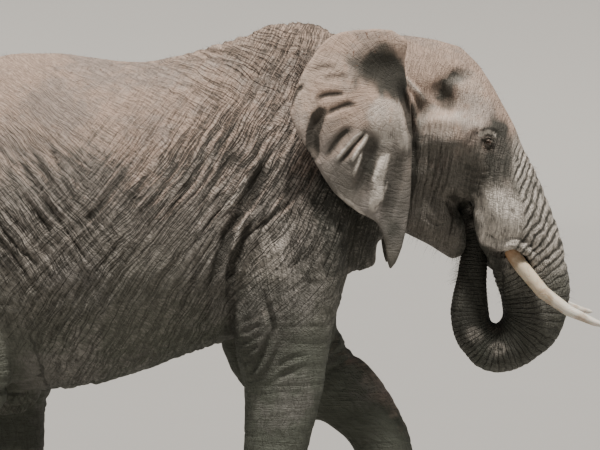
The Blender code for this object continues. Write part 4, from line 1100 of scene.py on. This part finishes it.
def paint_skin(skin, settings):
    """Cracked, dusty hide whose creases follow the folds, with painted top light, painted shade and
    painted highlights.
    """
    paint = Paint("elephant_hide", Specular_IOR_Level=0.25)
    place = paint.place()
    share = paint.value("ring_share")
    front, rear = paint.value("front_depth"), paint.value("rear_depth")
    wander = paint.noise(place, 0.16, 2.0, "Color")
    wander = paint.node("ShaderNodeVectorMath", {"operation": "SCALE"}, {0: wander, "Scale": 0.04})
    lie = {name: paint.moved(paint.vector(name), wander) for name in LONG_CRACKS}

    def cracks(sizes, name):
        return paint.creases(lie[name], *sizes[name])

    turns = paint.value("turns") + (paint.noise(place, 0.08, 3.0) - 0.5) * 1.3
    rings = paint.step(turns.there_and_back(0.5), 0, 0.17 + paint.value("ridged") * 0.17)
    long_folds = paint.between(share, cracks(LONG_CRACKS, "front_lie"), cracks(LONG_CRACKS, "ring"))
    long_folds = paint.between(paint.value("trunk") * 0.85, long_folds, rings)
    rear_folds = cracks(LONG_CRACKS, "rear_lie")
    fine_front = paint.between(share, cracks(FINE_CRACKS, "front_lie"), cracks(FINE_CRACKS, "ring"))
    fine_rear = paint.between(share, cracks(FINE_CRACKS, "rear_lie"),
                              paint.creases(lie["ring"], *RING_CROSS_CRACKS))
    breaks = paint.between(share, cracks(CROSS_CRACKS, "front_lie"), cracks(CROSS_CRACKS, "ring"))
    tiles = paint.tiles(place, TILE, 0.30)
    grit = paint.noise(place, 0.007, 3.0)
    fine = 1 - paint.value("smooth")
    along = front * 0.16 + 0.10
    against = (1 - front) * 0.20 + 0.04
    broken = front * 0.34 + 0.04
    height = long_folds * (front * 0.85 + 0.04) + rear_folds * (rear * 0.80)
    small = fine_front * along + fine_rear * against + breaks * broken + tiles * 0.12 + grit * 0.26
    height = height + small * fine

    broad = paint.noise(place, 0.45, 4.0)
    mottle = paint.noise(place, 0.05, 5.0)
    dust_and_top_light = paint.value("dust_and_top_light")
    # Darker towards the bottom and under the brow: painted shade, with the darker skin of the legs and
    # belly.
    colour = paint.blend(paint.value("lower"), settings.flank, settings.shade)
    # Dust and painted top light.
    dusty_and_lit = paint.step(dust_and_top_light + (broad - 0.5) * 0.9 + (mottle - 0.5) * 0.5, 0.30, 0.85)
    colour = paint.blend(dusty_and_lit, colour, settings.dust_and_top_light)
    colour = paint.blend(paint.step(broad + mottle * 0.3, 0.62, 0.82) * 0.5, colour, settings.clay)
    # The trunk darker: painted shade, with its own darker skin.
    colour = paint.blend(paint.value("trunk") * 0.35, colour, settings.shade)
    # Painted shade, with some damp stains.
    colour = paint.blend(paint.value("shade_and_stain") * 0.95, colour, settings.shade_and_damp)
    striped = paint.creases(place, STRIPE, 0.12)
    # Painted highlights, with some rubbed skin.
    highlight_and_rubbed = paint.value("highlight_and_rubbed") * paint.step(mottle + striped * 0.14, 0.32, 0.58)
    # Painted highlights along the ridges and the upper lid.
    highlight_and_rubbed = highlight_and_rubbed.most(paint.value("highlight_line") * paint.step(mottle, 0.25, 0.45) * 0.9)
    # Painted highlights on the trunk's ridges.
    highlight_and_rubbed = highlight_and_rubbed.most(paint.value("ridged") * long_folds * paint.step(mottle, 0.25, 0.50) * 0.9)
    # Painted highlights on the folds' crests, with some rubbing.
    crests = (front * long_folds * breaks).most(rear * rear_folds)
    crests = (1 - share) * crests * paint.step(mottle, 0.35, 0.65)
    highlight_and_rubbed = highlight_and_rubbed.most(crests * 0.30)
    colour = paint.blend(highlight_and_rubbed, colour, settings.highlight_and_rubbed_skin)
    specks = paint.step(paint.noise(place, 0.021, 3.0), 0.64, 0.70) * paint.step(broad, 0.42, 0.6)
    colour = paint.blend(specks * paint.value("crown") * 0.8, colour, settings.soil)
    small = (1 - fine_front) * along + (1 - fine_rear) * against + (1 - breaks) * broken
    small = small + (1 - tiles) * 0.10
    # Dirt in the cracks, with painted shade in them.
    dirt_and_shade = (1 - long_folds) * (front * 0.62 + 0.03) + (1 - rear_folds) * (rear * 0.62)
    dirt_and_shade = dirt_and_shade + small * fine * 0.9
    # Painted shade in the creases and along the shade lines.
    dirt_and_shade = dirt_and_shade + paint.value("folded") * 0.45 + paint.value("shade_line") * 0.75
    colour = paint.blend(dirt_and_shade.least(0.88), colour, settings.dirt_and_shade)
    paint.finish(skin, colour, 0.84 - 0.14 * mottle, height, settings.crack_depth)


# From the middle of the gaze: where the pupil, the iris and its dark rim give way, in metres.
PUPIL_EDGE = (0.0035, 0.0042)
RIM_EDGE = (0.0085, 0.0105)
IRIS_EDGE = (0.0108, 0.0122)
PUPIL_BLACK = (0.004, 0.003, 0.003)
IRIS_RAY = (0.002, 0.002, 0.02)


def paint_eyes(eyes, settings):
    """Amber iris, dark pupil and brown white, wet all over."""
    paint = Paint("wet_eye", Roughness=0.06, Coat_Weight=0.6, Coat_Roughness=0.03)
    gaze = paint.vector("gaze")
    away = paint.node("ShaderNodeVectorMath", {"operation": "LENGTH"}, {0: gaze}, "Value")
    rays = paint.noise(paint.sized(gaze, IRIS_RAY), 1.0, 3.0)
    iris = paint.blend(rays, settings.iris, settings.iris_dark)
    iris = paint.blend(paint.step(away, *RIM_EDGE), iris, settings.iris_dark)
    colour = paint.blend(paint.step(away, *PUPIL_EDGE), PUPIL_BLACK, iris)
    colour = paint.blend(paint.step(away, *IRIS_EDGE), colour, settings.white)
    paint.finish(eyes, colour)


# Sizes of the ivory's marks along and round a tusk, and of the nails' ridges, in metres.
IVORY_GRAIN = (0.09, 0.008, 0.008)
IVORY_CRACK = (0.60, 0.016, 0.016)
IVORY_RING = (0.012, 0.20, 0.20)
NAIL_RIDGE = (0.05, 0.05, 0.004)


def paint_ivory(tusks, settings):
    """Cream ivory, stained at the root and browned, scratched and cracked along its length."""
    paint = Paint("tusk_ivory", Subsurface_Weight=0.08, Coat_Weight=0.12)
    along = paint.vector("along")
    run = paint.value("run")
    place = paint.place()
    clouds = paint.noise(place, 0.09, 5.0)
    grain = paint.noise(paint.sized(along, IVORY_GRAIN), 1.0, 4.0)
    cracks = paint.creases(along, IVORY_CRACK, 0.02)
    rings = paint.noise(paint.sized(along, IVORY_RING), 1.0, 2.0)
    colour = paint.blend(paint.step(run + clouds * 0.3, 0.55, 0.95), settings.cream, settings.tip)
    colour = paint.blend(paint.step(clouds + grain * 0.3, 0.60, 0.85) * 0.75, colour, settings.brown)
    colour = paint.blend(paint.step(run - clouds * 0.25, 0.16, -0.12), colour, settings.shade_and_stain)
    colour = paint.blend((1 - cracks) * 0.35, colour, settings.brown)
    roughness = 0.42 + grain * 0.18
    paint.finish(tusks, colour, roughness, cracks * 0.6 + rings * 0.25 + grain * 0.15, 0.0012)


def paint_nails(nails, settings):
    """Dry, ridged horn with soil on it."""
    paint = Paint("nail_horn")
    place = paint.place()
    ridges = paint.noise(paint.sized(place, NAIL_RIDGE), 1.0, 3.0)
    soil = paint.noise(place, 0.03, 4.0)
    colour = paint.blend(paint.step(soil, 0.35, 0.7), settings.horn, settings.horn_dark)
    paint.finish(nails, colour, 0.5 + ridges * 0.2, ridges, 0.001)


def paint_hair(hair, settings):
    """Stiff black-brown bristle."""
    paint = Paint("bristle", Roughness=0.45)
    colour = paint.blend(paint.noise(paint.place(), 0.02, 2.0), settings.hair, settings.hair_light)
    paint.finish(hair, colour)


# ------------------------------------------------------------------ eyes, ivory, nails and hair
EYE_LOW, EYE_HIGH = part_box("right_eye")
EYE_RADIUS = (EYE_HIGH.z - EYE_LOW.z) / 2
EYE_SLANT = 0.45            # how far the lids' opening is turned down to the front, in radians
EYE_LEAN = (0.10, 0.03)     # how far an eye looks ahead and up, for 1 sideways
CORNEA_RISE = 0.10          # in radii of the eye


def eye_axes(side):
    """The ways outward, ahead and upward of one eye, and its middle."""
    low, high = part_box(f"{side}_eye")
    centre = (low + high) / 2
    out = Vector((EYE_LEAN[0], math.copysign(1, centre.y), EYE_LEAN[1])).normalized()
    ahead = (Vector((1, 0, 0)) - out * out.x).normalized()
    upward = (Vector((0, 0, 1)) - out * out.z - ahead * ahead.z).normalized()
    return out, ahead, upward, centre


def eyeballs(settings):
    """Both eyes as balls with a raised cornea."""
    bm = bmesh.new()
    gaze = bm.verts.layers.float_vector.new("gaze")
    for side in SIDES:
        out, ahead, upward, centre = eye_axes(side)
        turn = Matrix((ahead, upward, out)).transposed().to_4x4()
        ball = bmesh.ops.create_uvsphere(bm, u_segments=48, v_segments=32, radius=EYE_RADIUS)
        for vertex in ball["verts"]:
            away = math.hypot(vertex.co.x, vertex.co.y)
            if vertex.co.z > 0 and away < settings.cornea:
                vertex.co.z += CORNEA_RISE * EYE_RADIUS * (1 - (away / settings.cornea) ** 2) ** 1.5
            vertex[gaze] = (vertex.co.x, vertex.co.y, 0 if vertex.co.z > 0 else 1)
        bmesh.ops.transform(bm, matrix=Matrix.Translation(centre) @ turn, verts=ball["verts"])
    return from_bmesh("eyes", bm)


TUSK_GRAIN = 0.005
TUSK_PASSES = 60
TUSK_STEP = 0.05


def tusk(side):
    """One smooth tusk, which keeps how far along it each place is."""
    bm = bmesh.new()
    bm.from_mesh(NODES[f"{side}_tusk"].data)
    bmesh.ops.remove_doubles(bm, verts=bm.verts, dist=1e-5)
    tusk_object = from_bmesh(f"{side}_tusk_ivory", bm)
    modified(tusk_object, "REMESH", mode="VOXEL", voxel_size=TUSK_GRAIN)
    co = places(tusk_object.data)
    put_places(tusk_object.data, rounded_off(tusk_object, co, np.ones(len(co)), TUSK_PASSES))
    tusk_object.data.shade_smooth()
    solid = places(NODES[f"{side}_tusk"].data)
    low = solid[:, 0].min() + TUSK_STEP / 2
    high = solid[:, 0].max() - TUSK_STEP / 4
    line = slice_middles(solid, 0, np.arange(low, high, TUSK_STEP), TUSK_STEP * 0.7)
    run, offset, _ = follow(line, places(tusk_object.data))
    keep_value(tusk_object.data, "along", np.column_stack([run, offset[:, 1], offset[:, 2]]))
    keep_value(tusk_object.data, "run", run / run.max())
    return tusk_object


SOLE_CLEARANCE = 0.001
FORE_NAILS = (-58, -20, 18, 54)     # degrees round the foot from its front
HIND_NAILS = (-46, -4, 38)
NAIL_FOOT = -0.72           # where a nail is cut off below, in half heights
NAIL_CROWN = 0.10
NAIL_SINK = 0.55            # how deep a nail sits, in half thicknesses
OUTSIDE_FOOT = 0.6
# Each foot's middle near the sole, as a share of its box, the way it presses down, and its nails.
FEET = {
    "right_forefoot": ((0.48, 0.50, 0.10), (0.02, 0, -1), FORE_NAILS),
    "left_forefoot": ((0.40, 0.50, 0.27), (-0.6, 0, -0.8), FORE_NAILS),
    "left_hindfoot": ((0.50, 0.50, 0.12), (0.10, 0, -1), HIND_NAILS),
    "right_hindfoot": ((0.50, 0.50, 0.12), (0.10, 0, -1), HIND_NAILS),
}


def toenails(skin, settings):
    """Curved plates of horn set in the front of each foot."""
    mesh = skin.data
    mesh.calc_loop_triangles()
    tree = BVHTree.FromPolygons(places(mesh).tolist(),
                                [tuple(triangle.vertices) for triangle in mesh.loop_triangles])
    bm = bmesh.new()
    for foot, (share, aim, angles) in FEET.items():
        low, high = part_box(foot)
        middle = Vector(low[axis] + share[axis] * (high[axis] - low[axis]) for axis in range(3))
        down = Vector(aim).normalized()
        forward = down.cross(Vector((0, 1, 0))).normalized()
        across = forward.cross(down)
        for angle in angles:
            turn = math.radians(angle)
            out = forward * math.cos(turn) + across * math.sin(turn)
            hit, facing, _, _ = tree.ray_cast(middle + out * OUTSIDE_FOOT, -out)
            out = (out * 2 + facing).normalized()
            nail = bmesh.ops.create_uvsphere(bm, u_segments=28, v_segments=20, radius=1)["verts"]
            for vertex in nail:
                vertex.co.z = max(vertex.co.z, NAIL_FOOT)
                vertex.co.z += NAIL_CROWN * (1 - vertex.co.y ** 2)
                vertex.co *= 1 - NAIL_CROWN * max(vertex.co.z, 0) * abs(vertex.co.y)
            bmesh.ops.scale(bm, vec=(settings.thick, settings.wide, settings.tall), verts=nail)
            frame_turn = Matrix((out, down.cross(out), -down)).transposed().to_4x4()
            place = Matrix.Translation(hit - out * settings.thick * NAIL_SINK) @ frame_turn
            bmesh.ops.transform(bm, matrix=place, verts=nail)
            for vertex in nail:
                vertex.co.z = max(vertex.co.z, SOLE_CLEARANCE)
    return from_bmesh("toenails", bm)


TUFT_PATCH = 0.0012         # how much of the map each bristle takes
HAIR_TAPER = 0.6
BRUSH_OVERLAP = 0.10        # how far the tail's hair begins above its end
BRUSH_ROWS = 0.30           # the share of its length over which the hair takes root
BRUSH_ROW_APART = 0.012
LASH_SPAN, LASH_ARCH, LASH_BASE = 0.017, 0.010, 0.003   # the line on the upper lid that lashes follow
LASH_STANDOFF = 0.004
BRISTLE_RADIUS = 0.0006
TAIL_HAIR_RADIUS = 0.0016


def strands(name, roots, ways, lengths, radius, bend, parts):
    """Tapered bristles in one mesh, each bent toward the ground, with a map of their roots."""
    bm = bmesh.new()
    bmesh.ops.create_cone(bm, segments=3, radius1=1, radius2=0.15, depth=1)
    bmesh.ops.translate(bm, vec=(0, 0, 0.5), verts=bm.verts)
    sides = [edge for edge in bm.edges if abs(edge.verts[0].co.z - edge.verts[1].co.z) > 0.5]
    bmesh.ops.subdivide_edges(bm, edges=sides, cuts=parts - 1)
    hair = from_bmesh(name, bm)
    modified(hair, "ARRAY", count=len(roots), use_relative_offset=False, use_constant_offset=False)
    local = places(hair.data).reshape(len(roots), -1, 3)
    ways = ways / np.linalg.norm(ways, axis=1)[:, None]
    sideways = np.cross(ways, (0.31, 0.52, 0.79))
    sideways /= np.linalg.norm(sideways, axis=1)[:, None]
    upright = np.cross(ways, sideways)
    rise = local[:, :, 2:3]
    reach = lengths[:, None, None] * rise
    co = roots[:, None] + ways[:, None] * reach
    co[:, :, 2:3] -= bend * reach * rise
    thickness = radius * (1 - HAIR_TAPER * rise)
    round_x = sideways[:, None] * local[:, :, 0:1] * thickness
    co += round_x + upright[:, None] * local[:, :, 1:2] * thickness
    put_places(hair.data, co.reshape(-1, 3))
    unwrap = np.column_stack([(roots[:, 0] - LOW.x) / (HIGH.x - LOW.x),
                              0.5 + np.arctan2(roots[:, 1], roots[:, 2] - TALL / 2) / math.tau])
    patch = np.repeat(unwrap * 0.98 + 0.01, local.shape[1], axis=0)
    patch += local.reshape(-1, 3)[:, :2] * TUFT_PATCH
    corners = np.empty(len(hair.data.loops), np.int32)
    hair.data.loops.foreach_get("vertex_index", corners)
    layer = hair.data.uv_layers.new(name="OFBake")
    layer.data.foreach_set("uv", patch[corners].astype(np.float32).ravel())
    return hair


def tail_hair(settings):
    """The long, wiry hair at the end of the tail, in a front and a rear row."""
    draw = np.random.default_rng(7)
    low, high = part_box("tail_brush")
    middle = (low + high) / 2
    count = settings.tail_count
    level = draw.uniform(0, 1, count)
    row = draw.choice((-1, 1), count)
    top = high.z + BRUSH_OVERLAP
    roots = np.column_stack([np.full(count, high.x * 0.5 + low.x * 0.5) + row * BRUSH_ROW_APART,
                             draw.normal(0, 0.007, count), top - level * BRUSH_ROWS * (top - low.z)])
    ends = np.column_stack([middle.x + row * draw.uniform(0.0, 0.046, count) + 0.006,
                            draw.normal(0, 0.013, count),
                            low.z + draw.uniform(0, 0.16, count) ** 1.4])
    ways = ends - roots
    lengths = np.linalg.norm(ways, axis=1)
    hair = strands("tail_hair", roots, ways, lengths, TAIL_HAIR_RADIUS, 0.0, 6)
    co = places(hair.data).reshape(count, -1, 3)
    share = (roots[:, None, 2] - co[:, :, 2]) / (roots[:, None, 2] - ends[:, None, 2])
    co[:, :, 0] += (row * draw.uniform(0.004, 0.020, count))[:, None] * np.sin(share * math.pi)
    put_places(hair.data, co.reshape(-1, 3))
    return hair


def lash_hair(settings):
    """Long lashes along both upper lids."""
    draw = np.random.default_rng(11)
    roots, ways, lengths = [], [], []
    for side in SIDES:
        out, ahead, upward, centre = eye_axes(side)
        for share in np.linspace(-0.95, 0.95, settings.lash_count):
            across = share * LASH_SPAN
            up = LASH_ARCH * (1 - share ** 2) + LASH_BASE
            level = math.sqrt(EYE_RADIUS ** 2 - across ** 2 - up ** 2) + LASH_STANDOFF
            roots.append(centre + ahead * across + upward * up + out * level)
            ways.append(out * 1.0 + ahead * (share * 0.5 + draw.normal(0, 0.08)) - upward * 0.15)
            lengths.append(draw.uniform(0.018, 0.030))
    roots, ways, lengths = np.array(roots), np.array(ways), np.array(lengths)
    return strands("lashes", roots, ways, lengths, BRISTLE_RADIUS, 0.25, 4)


def skin_bristles(skin, settings):
    """Sparse bristles over the crown, chin, back and trunk."""
    draw = np.random.default_rng(13)
    mesh = skin.data
    co, facing = places(mesh), normals(mesh)
    x, y, z = co.T
    crown = smoothstep(2.55, 2.85, z) * (x > 0.9) * (np.abs(y) < 0.32)
    chin = smoothstep(1.95, 1.80, z) * (x > 0.95) * (x < 1.36) * (np.abs(y) < 0.2) * (z > 1.6)
    back = (facing[:, 2] > 0.75) * (z > 2.4) * 0.45
    front = (x > 1.36) * (z > 1.5) * (np.abs(y) < 0.3) * 0.35
    weight = crown * 1.5 + chin * 2.5 + back + front
    chosen = draw.choice(len(co), settings.bristle_count, replace=False, p=weight / weight.sum())
    ways = facing[chosen] + draw.normal(0, 0.25, (len(chosen), 3)) - (0.25, 0, 0.35)
    lengths = draw.uniform(0.018, 0.045, len(chosen)) * (1 + 0.8 * (chin[chosen] > 0))
    roots = co[chosen] - facing[chosen] * 0.002
    return strands("bristles", roots, ways, lengths, BRISTLE_RADIUS, 0.3, 3)


# ------------------------------------------------------------------ sizes and colours
def colour_setting(name, description, default):
    """A colour that a user would change."""
    return FloatVectorProperty(name=name, description=description, default=default, subtype="COLOR")


def length_setting(name, description, default):
    """A length that a user would change."""
    return FloatProperty(name=name, description=description, default=default, unit="LENGTH")


def count_setting(name, description, default):
    """A number of like things that a user would change."""
    return IntProperty(name=name, description=description, default=default)


class SkinSettings(bpy.types.PropertyGroup):
    """The skin's fineness, folds, lids and colours."""

    grain: length_setting("Grain", "Grain of the skin while it is sculpted", 0.0065)
    triangles: count_setting("Triangles", "About how many triangles the skin keeps", 152000)
    passes: count_setting("Smoothing", "Passes that round off the solids' facets", 150)
    fold_depth: length_setting("Fold depth", "Depth of the folds that lie over the body", 0.015)
    crack_depth: length_setting("Crack depth", "Depth of the cracks in the hide", 0.011)
    eye_width: length_setting("Eye width", "Half the width between the lids' corners", 0.0195)
    eye_height: length_setting("Eye height", "Half the height between the lids", 0.0115)
    lid_thickness: length_setting("Lid thickness", "How far the lids stand over the eye", 0.006)
    # Dust, and painted top light on upward faces.
    dust_and_top_light: colour_setting("Dust", "Dry, dusty upper skin", (0.490, 0.357, 0.281))
    flank: colour_setting("Flank", "Skin of the flank", (0.235, 0.205, 0.178))
    # Painted shade on the lower body, with its darker skin.
    shade: colour_setting("Lower skin", "Skin of the legs, belly and trunk", (0.112, 0.120, 0.096))
    clay: colour_setting("Clay", "Bluish dried mud", (0.255, 0.235, 0.220))
    # Painted highlights, with rubbed patches.
    highlight_and_rubbed_skin: colour_setting("Rubbed skin", "Pale, rubbed patches", (0.760, 0.690, 0.610))
    # Painted shade, with damp patches.
    shade_and_damp: colour_setting("Damp skin", "Dark, damp patches", (0.050, 0.050, 0.041))
    soil: colour_setting("Soil", "Specks of red soil", (0.150, 0.085, 0.055))
    # Dirt in the cracks, and painted shade in the creases.
    dirt_and_shade: colour_setting("Dirt", "Dirt that fills the cracks", (0.032, 0.030, 0.024))


class EyeSettings(bpy.types.PropertyGroup):
    """The eyes' cornea and colours."""

    cornea: length_setting("Cornea", "Radius of the cornea", 0.012)
    iris: colour_setting("Iris", "Amber of the iris", (0.060, 0.028, 0.012))
    iris_dark: colour_setting("Iris rim", "Dark rim and rays of the iris", (0.040, 0.018, 0.008))
    white: colour_setting("White", "Brownish white of the eye", (0.110, 0.080, 0.062))


class IvorySettings(bpy.types.PropertyGroup):
    """The tusks' colours."""

    cream: colour_setting("Cream", "Clean ivory", (0.640, 0.540, 0.400))
    tip: colour_setting("Tip", "Grey-white ivory at the tip", (0.660, 0.620, 0.540))
    brown: colour_setting("Brown", "Brown bloom on the ivory", (0.300, 0.190, 0.100))
    shade_and_stain: colour_setting("Stain", "Orange stain at the lip", (0.360, 0.190, 0.085))


class NailSettings(bpy.types.PropertyGroup):
    """The toenails' size and colours."""

    thick: length_setting("Thickness", "Half the thickness", 0.018)
    wide: length_setting("Width", "Half the width", 0.046)
    tall: length_setting("Height", "Half the height", 0.042)
    horn: colour_setting("Horn", "Pale horn", (0.260, 0.215, 0.165))
    horn_dark: colour_setting("Soiled horn", "Horn with soil on it", (0.120, 0.095, 0.072))


class HairSettings(bpy.types.PropertyGroup):
    """How many hairs there are, and their colours."""

    tail_count: count_setting("Tail hairs", "Hairs at the end of the tail", 260)
    lash_count: count_setting("Lashes", "Lashes on each upper lid", 34)
    bristle_count: count_setting("Bristles", "Bristles over the skin", 2200)
    hair: colour_setting("Hair", "Colour of the hair", (0.018, 0.014, 0.011))
    hair_light: colour_setting("Worn hair", "Colour of worn hair", (0.060, 0.045, 0.033))


class StageSettings(bpy.types.PropertyGroup):
    """The floor, the lights and the camera."""

    floor: colour_setting("Floor", "Colour of the floor", (0.36, 0.35, 0.33))
    key_colour: colour_setting("Key colour", "Colour of the high light", (1.0, 0.955, 0.90))
    fill_colour: colour_setting("Fill colour", "Colour of the light from all round", (0.86, 0.93, 1.0))
    key: FloatProperty(name="Key light", description="Strength of the high light", default=6.4)
    fill: FloatProperty(name="Fill light", description="Strength of the light from all round",
                        default=0.17)
    distance: length_setting("Distance", "Camera's distance from the middle", 17.86)
    level: length_setting("Level", "Camera's height", 2.518)
    along: length_setting("Along", "Camera's place along the body", 0.441)
    dip: FloatProperty(name="Dip", description="How far the camera looks down",
                       default=math.radians(1.94), unit="ROTATION")
    lens: FloatProperty(name="Lens", description="Focal length in millimetres", default=200.0)


GROUPS = {"elephant_skin": SkinSettings, "elephant_eyes": EyeSettings, "elephant_ivory": IvorySettings,
          "elephant_nails": NailSettings, "elephant_hair": HairSettings,
          "elephant_stage": StageSettings}


# ------------------------------------------------------------------ operators
REGION_EDGE = 0.10          # about how wide the soft edge of a region is
FIRM_SOLE = (0.10, 0.03)    # the heights between which the foot turns firm
FIRMNESS = 0.65
EAR_ROOT_AHEAD, EAR_ROOT_REACH, EAR_ROOT_OUT = 0.035, 0.075, 0.15
BOWL_RINGS = (0, 4, 12, 30, 60)     # the floor's flat rings, then its rim turns up
BOWL_RISE = 14
BOWL_DROP = 0.0005          # how far the floor lies under the soles
BOWL_STEPS = 96
KEY_TILT = (17, 7)          # degrees
KEY_SOFTNESS = 9
SENSOR = 36                 # millimetres
FAR_CLIP = 200


class ELEPHANT_OT_skin(bpy.types.Operator):
    """Grow one folded skin over the whole body"""

    bl_idname = "elephant.skin"
    bl_label = "Skin"

    def execute(self, context):
        settings = context.scene.elephant_skin
        grain = settings.grain * 1
        passes = round(settings.passes * (settings.grain / grain) ** 2)
        skin = flesh_mesh(grain)
        hide = Hide(skin.data, round(REGION_EDGE / grain))
        firm = hide.on(*REGIONS["ear"], *REGIONS["mouth"], "tail")
        firm = np.maximum(firm, smoothstep(*FIRM_SOLE, hide.co[:, 2]))
        weight = 1 - FIRMNESS * firm
        hide.co = rounded_off(skin, hide.co, weight, passes)
        put_places(skin.data, hide.co)
        root = np.exp(-((hide.co[:, 0] - EAR_ROOT[0] - EAR_ROOT_AHEAD) / EAR_ROOT_REACH) ** 4)
        root *= smoothstep(2.60, 2.70, hide.co[:, 2]) * (np.abs(hide.co[:, 1]) > EAR_ROOT_OUT)
        hide.co = smoothed(skin, hide.co, root, passes * 4)
        put_places(skin.data, hide.co)
        grains = (Grain(FRONT_GRAIN), Grain(REAR_GRAIN))
        put_places(skin.data, sculpt(skin, hide, grains, settings))
        root *= smoothstep(2.68, 2.78, hide.co[:, 2])
        put_places(skin.data, smoothed(skin, places(skin.data), root, passes))
        faces = 2 * len(skin.data.polygons)
        modified(skin, "DECIMATE", ratio=min(1, settings.triangles / faces))
        bm = refine(skin)
        for side in SIDES:
            open_lids(bm, side, settings)
        bm.to_mesh(skin.data)
        bm.free()
        skin.data.shade_smooth()
        mark_skin(skin, grains)
        paint_skin(skin, settings)
        finish_piece(skin, "skin", *FLESH)
        return {"FINISHED"}


class ELEPHANT_OT_eyes(bpy.types.Operator):
    """Set the eyes behind their lids"""

    bl_idname = "elephant.eyes"
    bl_label = "Eyes"

    def execute(self, context):
        settings = context.scene.elephant_eyes
        eyes = eyeballs(settings)
        paint_eyes(eyes, settings)
        finish_piece(eyes, "eye", "left_eye", "right_eye")
        return {"FINISHED"}


class ELEPHANT_OT_tusks(bpy.types.Operator):
    """Turn the tusks in ivory"""

    bl_idname = "elephant.tusks"
    bl_label = "Tusks"

    def execute(self, context):
        for side in SIDES:
            ivory = tusk(side)
            paint_ivory(ivory, context.scene.elephant_ivory)
            finish_piece(ivory, "ivory", f"{side}_tusk")
        return {"FINISHED"}


class ELEPHANT_OT_nails(bpy.types.Operator):
    """Set the toenails in the feet"""

    bl_idname = "elephant.nails"
    bl_label = "Toenails"

    def execute(self, context):
        settings = context.scene.elephant_nails
        nails = toenails(bpy.data.objects["skin"], settings)
        paint_nails(nails, settings)
        finish_piece(nails, "leg_skin")
        return {"FINISHED"}


class ELEPHANT_OT_hair(bpy.types.Operator):
    """Grow the tail's hair, the lashes and the bristles"""

    bl_idname = "elephant.hair"
    bl_label = "Hair"

    def execute(self, context):
        settings = context.scene.elephant_hair
        brush = tail_hair(settings)
        for hair in (brush, lash_hair(settings), skin_bristles(bpy.data.objects["skin"], settings)):
            paint_hair(hair, settings)
            finish_piece(hair, "hair")
        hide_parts("tail_brush")
        return {"FINISHED"}


class ELEPHANT_OT_stage(bpy.types.Operator):
    """Lay the floor, hang the lights and set the camera"""

    bl_idname = "elephant.stage"
    bl_label = "Stage"

    def execute(self, context):
        settings = context.scene.elephant_stage
        bm = bmesh.new()
        rim = [(reach, 0) for reach in BOWL_RINGS]
        rim += [(BOWL_RINGS[-1] + BOWL_RISE * math.sin(turn), BOWL_RISE - BOWL_RISE * math.cos(turn))
                for turn in np.linspace(0.1, 1.4, 12)]
        profile = [bm.verts.new((x, 0, z - BOWL_DROP)) for x, z in rim]
        edges = [bm.edges.new(pair) for pair in zip(profile, profile[1:])]
        bmesh.ops.spin(bm, geom=profile + edges, cent=(0, 0, 0), axis=(0, 0, 1), angle=math.tau,
                       steps=BOWL_STEPS, use_merge=True)
        bmesh.ops.remove_doubles(bm, verts=bm.verts, dist=1e-4)
        floor = from_bmesh("studio_floor", bm)
        if floor.data.polygons[0].normal.z < 0:
            floor.data.flip_normals()
        paint = Paint("studio_paper", Roughness=0.9)
        worn = [channel * 0.97 for channel in settings.floor]
        paint.finish(floor, paint.blend(paint.noise(paint.place(), 2.0), settings.floor, worn))
        key = bpy.data.lights.new("key", "SUN")
        key.energy = settings.key
        key.angle = math.radians(KEY_SOFTNESS)
        key.color = settings.key_colour
        lamp = new_object("key", key)
        lamp.rotation_euler = (*(math.radians(tilt) for tilt in KEY_TILT), 0)
        world = bpy.data.worlds.new("studio")
        world.use_nodes = True
        background = world.node_tree.nodes["Background"]
        background.inputs["Color"].default_value = (*settings.fill_colour, 1)
        background.inputs["Strength"].default_value = settings.fill
        context.scene.world = world
        camera = bpy.data.cameras.new("camera")
        camera.lens = settings.lens
        camera.sensor_width = SENSOR
        camera.clip_end = FAR_CLIP
        viewer = new_object("camera", camera)
        viewer.location = (settings.along, -settings.distance, settings.level)
        viewer.rotation_euler = (math.pi / 2 - settings.dip, 0, 0)
        context.scene.camera = viewer
        return {"FINISHED"}


OPERATORS = (ELEPHANT_OT_skin, ELEPHANT_OT_eyes, ELEPHANT_OT_tusks, ELEPHANT_OT_nails, ELEPHANT_OT_hair,
             ELEPHANT_OT_stage)


class ELEPHANT_PT_panel(bpy.types.Panel):
    """The elephant's pieces, each made by a button"""

    bl_idname = "ELEPHANT_PT_panel"
    bl_label = "Walking elephant"
    bl_space_type = "VIEW_3D"
    bl_region_type = "UI"
    bl_category = "Elephant"

    def draw(self, context):
        for name, group in GROUPS.items():
            box = self.layout.box()
            box.label(text=group.__doc__)
            for field in group.__annotations__:
                box.prop(getattr(context.scene, name), field)
        for operator in OPERATORS:
            self.layout.operator(operator.bl_idname)


def register():
    for group in GROUPS.values():
        bpy.utils.register_class(group)
    for name, group in GROUPS.items():
        setattr(bpy.types.Scene, name, PointerProperty(type=group))
    for kind in (*OPERATORS, ELEPHANT_PT_panel):
        bpy.utils.register_class(kind)


def unregister():
    for kind in (ELEPHANT_PT_panel, *reversed(OPERATORS)):
        bpy.utils.unregister_class(kind)
    for name in GROUPS:
        delattr(bpy.types.Scene, name)
    for group in reversed(GROUPS.values()):
        bpy.utils.unregister_class(group)


def main():
    """Make every piece."""
    register()
    bpy.ops.elephant.skin()
    bpy.ops.elephant.eyes()
    bpy.ops.elephant.tusks()
    bpy.ops.elephant.nails()
    bpy.ops.elephant.hair()
    bpy.ops.elephant.stage()


if __name__ == "__main__":
    main()
